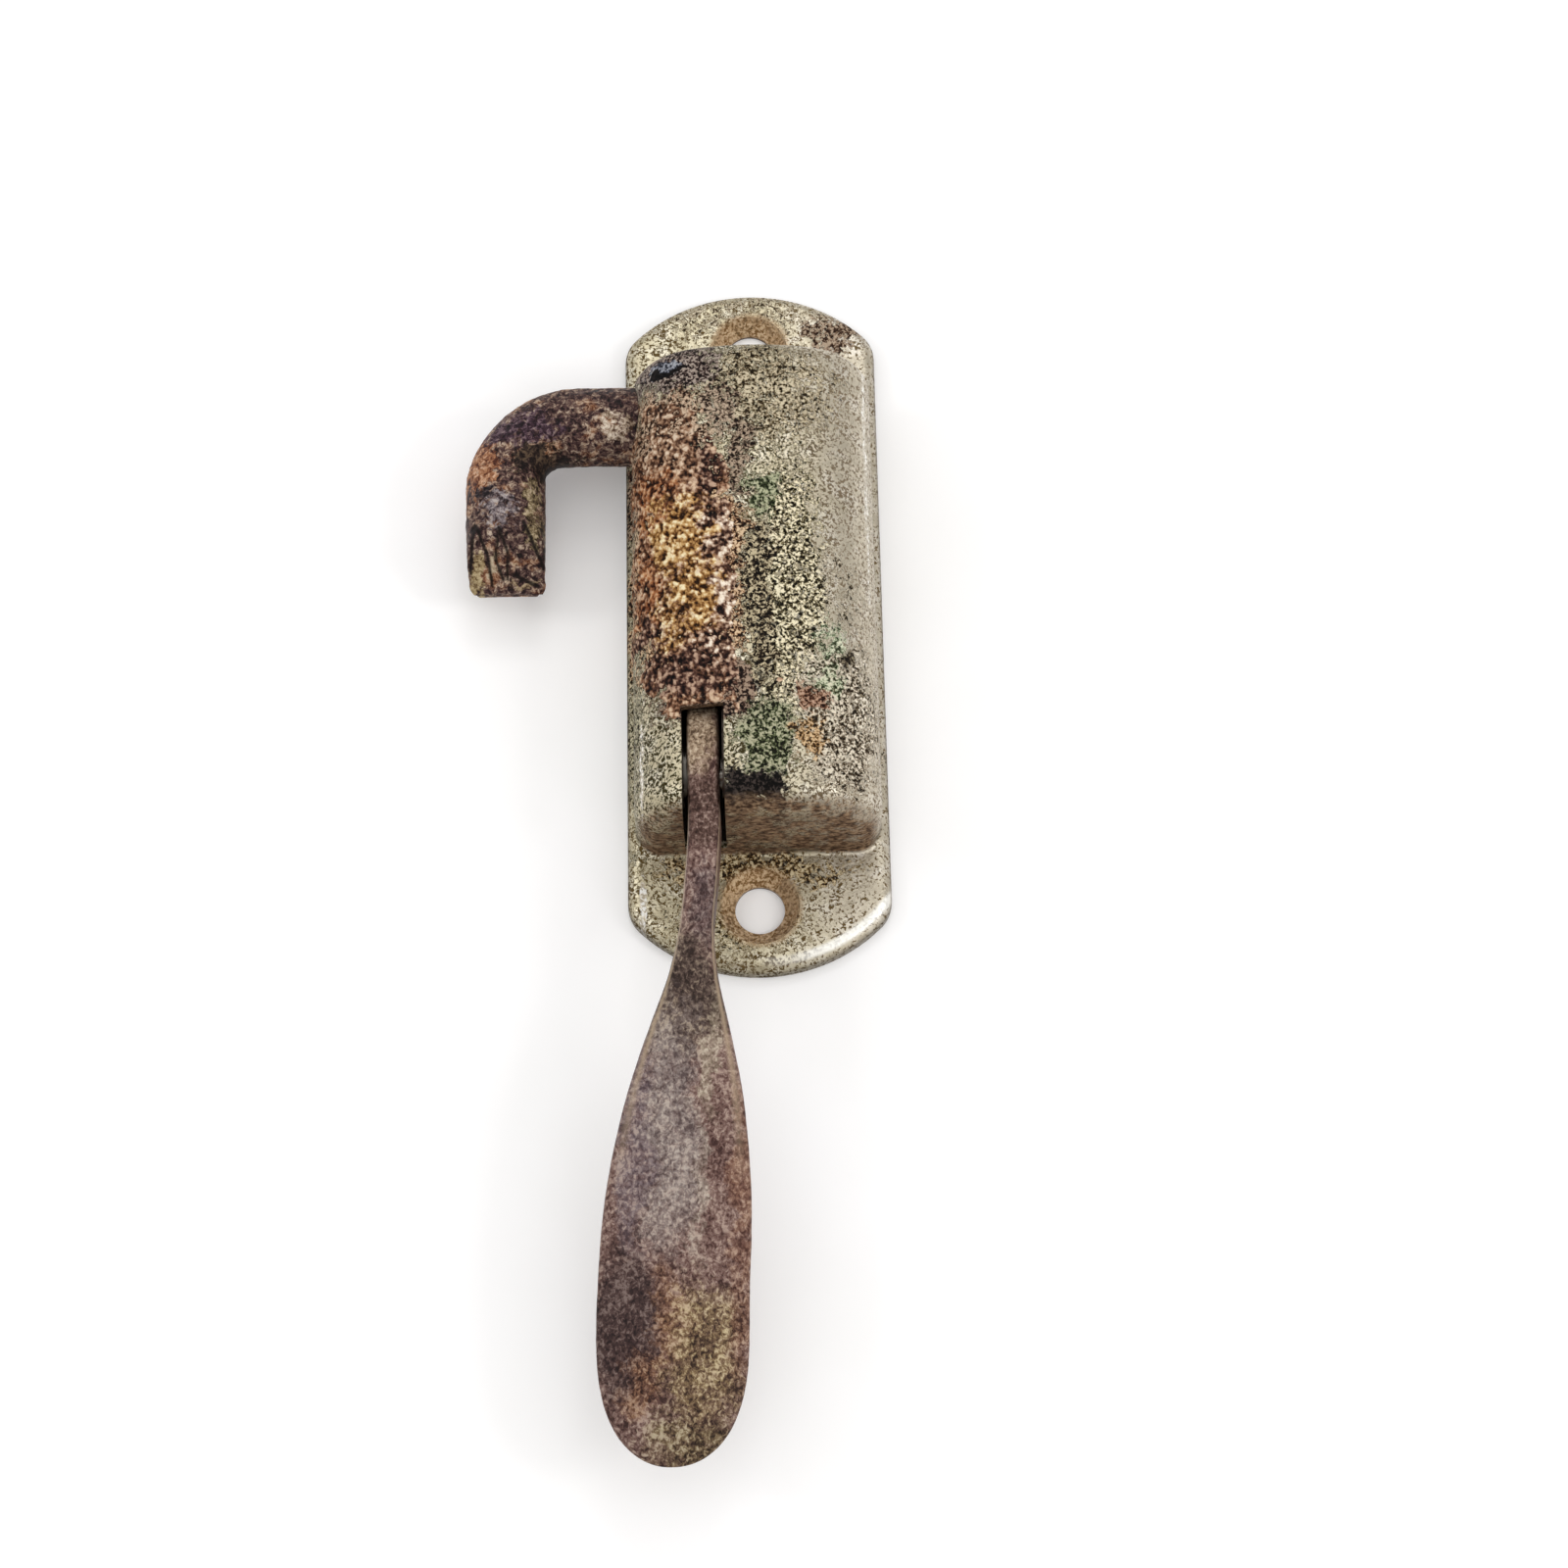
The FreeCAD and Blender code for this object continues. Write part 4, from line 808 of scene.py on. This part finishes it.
def plated_cover():
    """Old nickel plate: grey satin metal, freckled brown, with verdigris, rust and soot stains;
    painted highlights on its edges and rim, and painted shade at the foot of its walls and on its
    end face.
    """
    material, tree, shader, place = start_material("weathered nickel plate")
    ragged = wander(tree, place, 3.0, 7.0)
    strayed = add(tree, "ShaderNodeSeparateXYZ", {"Vector": ragged})
    exact = add(tree, "ShaderNodeSeparateXYZ", {"Vector": place})
    facing = add(tree, "ShaderNodeSeparateXYZ", {
        "Vector": add(tree, "ShaderNodeNewGeometry").outputs["Normal"]})
    fleck = add(tree, "ShaderNodeTexNoise", {
        "Vector": place, "Scale": per(0.36), "Detail": 4.0, "Roughness": 0.65, "Distortion": 0.5})
    clouds = add(tree, "ShaderNodeTexNoise", {
        "Vector": place, "Scale": per(2.2), "Detail": 4.0, "Roughness": 0.6})
    colour, unfreckled = freckled_plate(tree, strayed, exact, fleck, clouds)
    clustered = add(tree, "ShaderNodeMix", {0: 0.2, 2: fleck, 3: clouds}, data_type="FLOAT")
    colour, unstained = lay_patches(tree, colour, clustered, ragged, (
        ((0.0, 20.5), (9.0, 6.5), 0.75, ("#181005", "#4C3C24", "#928062", "#CEC2A6")),
        ((-13.4, -1.0), (1.8, 24.0), 0.8, ("#14120A", "#464029", "#80765C", "#C8C0A4")),
        ((3.6, -3.0), (4.2, 16.0), 0.85, ("#0C0803", "#352A12", "#9C8E68", "#EEE4C6")),
        ((9.0, -17.0), (4.2, 9.0), 0.85, ("#1C140A", "#544430", "#A0907A", "#E0D6C2")),
        ((-7.0, 0.0), (7.0, 13.0), 1.1, ("#180B06", "#523220", "#9E7452", "#DABF9C")),
        ((-9.6, 14.0), (4.6, 9.5), 1.0, ("#1A0E08", "#523828", "#8E6E56", "#CAB298")),
        ((-8.0, 24.6), (5.2, 2.6), 0.95, ("#0E0808", "#30221F", "#63504A", "#A6988C")),
        ((-5.0, -14.0), (5.6, 4.2), 1.1, ("#100806", "#2C1C16", "#5E463A", "#A08A76")),
        ((0.7, -3.0), (1.5, 11.0), 0.95, ("#0A0604", "#1E140D", "#54442F", "#C2B494")),
        ((-1.2, 12.5), (1.4, 5.0), 0.9, ("#100806", "#2E1F18", "#645040", "#B09C86")),
        ((-3.4, 19.0), (2.6, 3.4), 0.8, ("#140C09", "#3E2E24", "#7C6654", "#B8A48E")),
        ((1.2, 8.4), (1.4, 2.4), 0.85, ("#101406", "#363E24", "#687050", "#B4B494")),
        ((9.0, -4.0), (2.6, 8.0), 0.4, ("#20180C", "#55462F", "#988A72", "#D6CCB8")),
        ((11.6, -16.0), (1.2, 8.0), 0.5, ("#2A1E10", "#5E4C34", "#A8987C", "#F0E8D8")),
        ((8.0, -8.4), (1.8, 2.8), 0.6, ("#2C3220", "#687658", "#98A282", "#DADAC0")),
        ((8.0, -13.0), (1.6, 1.8), 0.6, ("#262A16", "#5E684C", "#8E9878", "#D0D0B4")),
        ((1.0, -19.6), (3.0, 4.2), 1.0, ("#0E0E05", "#343820", "#66704C", "#B0AC90")),
        ((6.1, -15.0), (1.4, 1.6), 1.0, ("#1A0C06", "#4A2A1C", "#825A42", "#B89880")),
        ((5.6, -19.6), (1.9, 2.2), 0.85, ("#22150A", "#62441F", "#9C7448", "#D2B68E")),
        ((10.0, -10.0), (0.8, 1.6), 1.0, ("#140E08", "#31261A", "#54463A", "#8A8068")),
        ((-0.6, -25.2), (3.8, 2.0), 1.3, ("#050302", "#0E0A08", "#1A1412", "#3C3430")),
        ((-1.0, -29.6), (10.0, 1.9), 0.9, ("#1E1206", "#5E4422", "#9C7E50", "#D6C6A2")),
        ((-3.0, -35.5), (8.0, 3.6), 0.55, ("#1E1608", "#645230", "#A8956A", "#E0D6BA")),
        ((9.0, 35.5), (3.4, 2.6), 0.8, ("#2A1A12", "#5E4636", "#846C58", "#B4A08A")),
        ((-2.0, 38.0), (10.0, 3.4), 0.5, ("#2C2012", "#6C5C44", "#9C8C72", "#D2C6AE")),
    ), (0.455, 0.485, 0.515, 0.55))
    # The split in the dent, and painted highlights along the edges of the hump and rim; these lie
    # where they lie, so their outlines aren't pushed about.
    dent_blue = ("#23242A", "#43454F", "#6A6D78", "#A2A4AA")
    split_dark = ("#040303", "#090708", "#100C0B", "#1E1918")
    painted_highlight = ("#AEA28E", "#D4CCBC", "#EAE4DA", "#FAF8F2")
    colour, _ = lay_patches(tree, colour, clustered, place, (
        ((-9.5, 24.5), (1.9, 1.0), 0.9, dent_blue),
        ((-10.5, 24.3), (0.45, 0.6), 1.4, split_dark),
        ((-9.8, 23.8), (0.6, 0.35), 1.4, split_dark),
        ((-9.0, 23.7), (0.6, 0.25), 1.4, split_dark),
        ((-8.2, 24.0), (0.6, 0.2), 1.4, split_dark),
        ((-7.5, 24.3), (0.5, 0.16), 1.4, split_dark),
        # Painted highlights: near-white lines along the hump's edges and the flange's left rim.
        ((12.5, 14.0), (0.22, 15.0), 0.7, painted_highlight),
        ((-12.3, -21.0), (0.22, 5.0), 0.7, painted_highlight),
        ((2.0, 27.9), (10.0, 0.18), 0.7, painted_highlight),
        ((-12.6, -33.5), (0.4, 3.0), 0.8, painted_highlight),
    ), (0.455, 0.485, 0.515, 0.55))
    bare = add(tree, "ShaderNodeMath", {0: unfreckled, 1: unstained}, operation="MULTIPLY")
    colour = shaded_wall_foot(tree, colour, exact, facing)
    colour, bare = dull_shaded_end(tree, colour, bare, place, exact, facing, clouds)
    colour = painted_rim_highlight(tree, colour, place, strayed, exact, facing)
    colour = ringed_seats(tree, colour, place, fleck)
    metal = add(tree, "ShaderNodeMapRange", {"Value": bare, "To Min": 0.1, "To Max": 1.0})
    gloss = add(tree, "ShaderNodeMapRange", {"Value": bare, "To Min": 0.75, "To Max": 0.34})
    relief = add(tree, "ShaderNodeBump", {"Height": fleck, "Strength": 0.8, "Distance": 0.10 * MM})
    shader.inputs["Specular IOR Level"].default_value = 0.12
    wire(tree, shader, {
        "Base Color": colour, "Metallic": metal, "Roughness": gloss, "Normal": relief})
    return material


cover_finish = plated_cover()
finish_node("cover", cover_finish)


# --- rust crust on the cover ----------------------------------------------------------------
# The thick crust of rust and lime that has grown through the plating above the mechanism. It
# stands up to 0.4 mm proud in coarse grains, is rooted 0.3 mm deep, and thins out at its edges.

CRUST_OVALS = (
    # centre, radii and how thick it grows there
    ((-7.2, 0.0), (6.2, 11.5), 1.0),
    ((-10.0, 12.0), (3.6, 9.2), 0.7),
    ((-7.0, 9.0), (5.0, 7.0), 0.7),
    ((-4.6, -12.0), (6.2, 4.0), 0.9),
)
CRUST_STEP = 0.17
CRUST_ROOT = 0.3 * MM
# The line inside the housing from which the crust's points fan out.
CRUST_AXIS = Vector((-1.0, 0, 4.0)) * MM
# The crust keeps to the left of and above these; past them lies the far wall's inside.
CRUST_RIGHT, CRUST_BOTTOM = 8 * MM, 5 * MM


def crust_share(x, y):
    """From 0 off the crust to 1 where it is thickest, at a place on the cover in millimetres."""
    spot = Vector((x, y, 0)) * MM
    x += 3.0 * rough(spot, 2.5, 4)
    y += 3.0 * rough(spot + Vector((0.1, 0, 0)), 2.5, 4)
    return max(
        thick * min(max((1.1 - math.hypot((x - cx) / rx, (y - cy) / ry)) / 0.3, 0), 1)
        for (cx, cy), (rx, ry), thick in CRUST_OVALS)


def crust_points():
    """Points laid on the cover from outside and raised into grains, their roots, and their grid."""
    depsgraph = bpy.context.evaluated_depsgraph_get()
    cover = BVHTree.FromObject(nodes["cover"], depsgraph)
    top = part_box("cover")[1].z - 0.02 * MM
    angles = np.radians(np.arange(62, 168, 0.62))
    rows = np.arange(-18.5, 25.2, CRUST_STEP)
    points, roots, grains, index = [], [], [], {}
    for i, y in enumerate(rows):
        for j, angle in enumerate(angles):
            ray = Vector((math.cos(angle), 0, math.sin(angle)))
            start = CRUST_AXIS + Vector((0, y * MM, 0)) + ray * 40 * MM
            spot, normal, _, _ = cover.ray_cast(start, -ray)
            if spot is None or normal.dot(ray) < 0.2:
                continue
            # A ray that goes in through a hole meets the far wall from inside.
            if spot.x > CRUST_RIGHT or spot.z < CRUST_BOTTOM:
                continue
            share = crust_share(spot.x / MM, y)
            lumps = 0.42 * rough(spot, 1.3, 3) + 0.58 * rough(spot, 0.5, 3)
            grain = min(max(0.5 + 0.9 * lumps, 0), 1)
            # Grains are as high as the cover's crown leaves room for; the outline dips under.
            room = max(top - spot.z, 0) / MM
            share *= min(room / 0.12, 1)
            height = share * (0.04 + min(0.42, 0.6 * room + 0.1) * grain) - 0.05
            raised = spot + normal * height * MM
            raised.z = min(raised.z, top)
            index[i, j] = len(points)
            points.append(raised)
            roots.append(spot - normal * CRUST_ROOT)
            grains.append((grain, height, share))
    return points, roots, grains, index


def crust_squares(index, grains):
    """Squares of the grid that the crust covers, none of which meet at a corner only."""
    squares = {}
    for i, j in index:
        corners = [index.get(k) for k in ((i, j), (i, j + 1), (i + 1, j + 1), (i + 1, j))]
        if None not in corners:
            squares[i, j] = corners
    grown = {k for k, corners in squares.items() if max(grains[c][1] for c in corners) > 0}
    # Where two would meet at a corner only, the squares beside them are filled in.
    filled = {None}
    while filled:
        filled = set()
        for i, j in grown:
            for side in (1, -1):
                beside = {(i + 1, j), (i, j + side)}
                if (i + 1, j + side) in grown and not beside & grown:
                    filled |= beside & squares.keys()
        grown |= filled
    return [squares[k] for k in sorted(grown)]


def crust_patch():
    """The closed crust: grains above, roots below, and walls round its outline."""
    points, roots, grains, index = crust_points()
    upper = crust_squares(index, grains)
    used = sorted({corner for face in upper for corner in face})
    order = {corner: k for k, corner in enumerate(used)}
    upper = [[order[corner] for corner in face] for face in upper]
    sides = {(face[k], face[(k + 1) % 4]) for face in upper for k in range(4)}
    down = len(used)
    lower = [[corner + down for corner in reversed(face)] for face in upper]
    walls = [(b, a, a + down, b + down) for a, b in sorted(sides) if (b, a) not in sides]
    mesh = bpy.data.meshes.new("rust_crust")
    mesh.from_pydata([points[k] for k in used] + [roots[k] for k in used], [],
                     upper + lower + walls)
    face_outward(mesh)
    note_values(mesh, "grain", [grains[k][0] for k in used] * 2)
    note_values(mesh, "share", [grains[k][2] for k in used] * 2)
    mesh.shade_smooth()
    return put_in_scene("rust_crust", mesh)


def caked_rust():
    """Caked rust and lime: dry, coarse grains, cream and orange crests over dark pits."""
    material, tree, shader, place = start_material("caked rust and lime")
    ragged = wander(tree, place, 2.5, 12.0)
    grain = add(tree, "ShaderNodeAttribute", attribute_name="grain")
    grit = add(tree, "ShaderNodeTexNoise", {
        "Vector": place, "Scale": per(0.40), "Detail": 4.0, "Roughness": 0.65, "Distortion": 0.7})
    both = add(tree, "ShaderNodeMix", {0: 0.5, 2: grain.outputs["Fac"], 3: grit}, data_type="FLOAT")
    cells = add(tree, "ShaderNodeTexVoronoi", {"Vector": place, "Scale": per(0.55)})
    crests = add(tree, "ShaderNodeMapRange", {
        "Value": cells, "From Min": 0.15, "From Max": 0.65, "To Min": 0.62, "To Max": 0.34})
    both = add(tree, "ShaderNodeMix", {0: 0.42, 2: both, 3: crests}, data_type="FLOAT")
    rose = add(tree, "ShaderNodeValToRGB", {"Fac": both}, stops=[
        (0.36, "#150906"), (0.43, "#543523"), (0.50, "#9A7258"), (0.59, "#D8BC9E")])
    rust = ("#1E0B05", "#6C3A20", "#AA6E44", "#DAAE84")
    yellow = ("#261406", "#80562C", "#C99E64", "#F6E6BC")
    pale = ("#120907", "#4C3026", "#AC8C74", "#F8EAD6")
    purple = ("#0A0505", "#2A1713", "#66473A", "#C0A088")
    colour, _ = lay_patches(tree, rose, both, ragged, (
        ((-10.8, 9.0), (2.4, 5.0), 0.7, rust), ((-11.4, -2.0), (1.8, 6.0), 0.6, rust),
        ((-8.2, 4.5), (2.8, 4.8), 0.9, yellow), ((-6.0, -2.5), (2.8, 4.4), 0.9, yellow),
        ((-9.4, -6.0), (1.6, 2.6), 0.6, yellow), ((-3.2, 4.5), (2.0, 3.8), 0.85, pale),
        ((-2.2, -3.5), (1.9, 4.2), 0.85, pale), ((-4.0, -9.4), (2.6, 1.8), 0.8, pale),
        ((-4.6, 12.0), (2.0, 5.0), 0.9, purple), ((-8.0, -12.2), (3.6, 2.6), 1.0, purple),
        ((-11.6, -8.0), (1.6, 3.0), 0.9, purple), ((-3.4, 7.6), (0.8, 3.0), 0.9, purple),
        ((-1.5, -12.5), (3.0, 3.0), 0.9, purple), ((-0.8, -2.0), (0.8, 8.0), 0.9, purple),
        ((-9.0, 16.0), (3.6, 5.0), 0.7, ("#1C0E09", "#604232", "#A68468", "#DEC8B0")),
    ), (0.36, 0.43, 0.50, 0.59))
    # Dark rust shows along the crust's own edge.
    share = add(tree, "ShaderNodeAttribute", attribute_name="share")
    rim = add(tree, "ShaderNodeMapRange", {
        "Value": share.outputs["Fac"], "From Min": 0.35, "From Max": 0.08, "To Max": 0.8})
    rim_colour = add(tree, "ShaderNodeValToRGB", {"Fac": both}, stops=[
        (0.44, "#100806"), (0.50, "#2E1C15"), (0.56, "#7E6452")])
    colour = add(tree, "ShaderNodeMix", {0: rim, 6: colour, 7: rim_colour}, data_type="RGBA")
    relief = add(tree, "ShaderNodeBump", {"Height": grit, "Strength": 0.9, "Distance": 0.15 * MM})
    gloss = add(tree, "ShaderNodeMapRange", {"Value": both, "To Min": 0.6, "To Max": 0.95})
    shader.inputs["Specular IOR Level"].default_value = 0.12
    wire(tree, shader, {"Base Color": colour, "Roughness": gloss, "Normal": relief})
    return material


crust_piece = crust_patch()
crust_piece.data.materials.append(caked_rust())
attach(crust_piece, "wall_unit")


# --- floor, lights and camera ---------------------------------------------------------------
# A sheet of matt white paper that glows faintly, as on a light table, and four soft boxes in a
# room that is brighter overhead than at its sides. The camera looks down from the lever's end.

def matt_paper():
    """Matt white paper: no gloss, a very faint unevenness, and a little light through it."""
    material, tree, shader, place = start_material("matt white paper")
    pulp = add(tree, "ShaderNodeTexNoise", {"Vector": place, "Scale": per(30.0), "Detail": 3.0})
    colour = add(tree, "ShaderNodeValToRGB", {"Fac": pulp}, stops=[
        (0.35, "#F3F2F1"), (0.65, "#F7F6F6")])
    shader.inputs["Roughness"].default_value = 1.0
    shader.inputs["Specular IOR Level"].default_value = 0.1
    shader.inputs["Emission Color"].default_value = linear("#FFFFFF")
    shader.inputs["Emission Strength"].default_value = 0.12
    wire(tree, shader, {"Base Color": colour})
    return material


# In metres: wide enough that its edges stay out of sight from low down.
HALF_FLOOR = 4.0
FLOOR_Z = -0.05 * MM
floor_mesh = bpy.data.meshes.new("floor")
floor_mesh.from_pydata([
    (HALF_FLOOR * x, HALF_FLOOR * y, FLOOR_Z) for x, y in ((-1, -1), (1, -1), (1, 1), (-1, 1))],
    [], [(0, 1, 2, 3)])
floor_mesh.materials.append(matt_paper())
floor = put_in_scene("floor", floor_mesh)

SOFT_BOXES = (
    # name, centre in metres, size in metres, power in watts
    ("left_soft_box", (-0.50, 0.05, 0.40), 0.16, 0.45),
    ("right_soft_box", (0.48, -0.12, 0.42), 0.14, 0.60),
    ("far_soft_box", (0.05, 0.50, 0.60), 0.25, 0.55),
    ("near_right_soft_box", (0.40, -0.42, 0.16), 0.15, 0.25),
)
aim = Vector((0, -0.02, 0))
for name, centre, size, power in SOFT_BOXES:
    lamp = bpy.data.lights.new(name, "AREA")
    lamp.shape = "SQUARE"
    lamp.size = size
    lamp.energy = power
    holder = put_in_scene(name, lamp)
    holder.location = centre
    holder.rotation_euler = (aim - Vector(centre)).to_track_quat("-Z", "Y").to_euler()

world = bpy.data.worlds.new("studio")
bpy.context.scene.world = world
world.use_nodes = True
sky = world.node_tree
height = add(sky, "ShaderNodeSeparateXYZ", {
    "Vector": add(sky, "ShaderNodeTexCoord").outputs["Generated"]})
overhead = add(sky, "ShaderNodeMapRange", {
    "Value": height.outputs["Z"], "To Min": 0.28, "To Max": 1.12})
sky.nodes["Background"].inputs["Color"].default_value = linear("#FFFFFF")
wire(sky, sky.nodes["Background"], {"Strength": overhead})

lens = bpy.data.cameras.new("camera")
lens.lens = 74.4
lens.sensor_width = 36.0
lens.clip_start = 0.01
camera = put_in_scene("camera", lens)
camera.location = Vector((0.39, -139.93, 335.57)) * MM
camera.rotation_euler = (math.radians(19.86), 0, math.radians(-1.18))
bpy.context.scene.camera = camera
bpy.context.scene.view_settings.view_transform = "Standard"
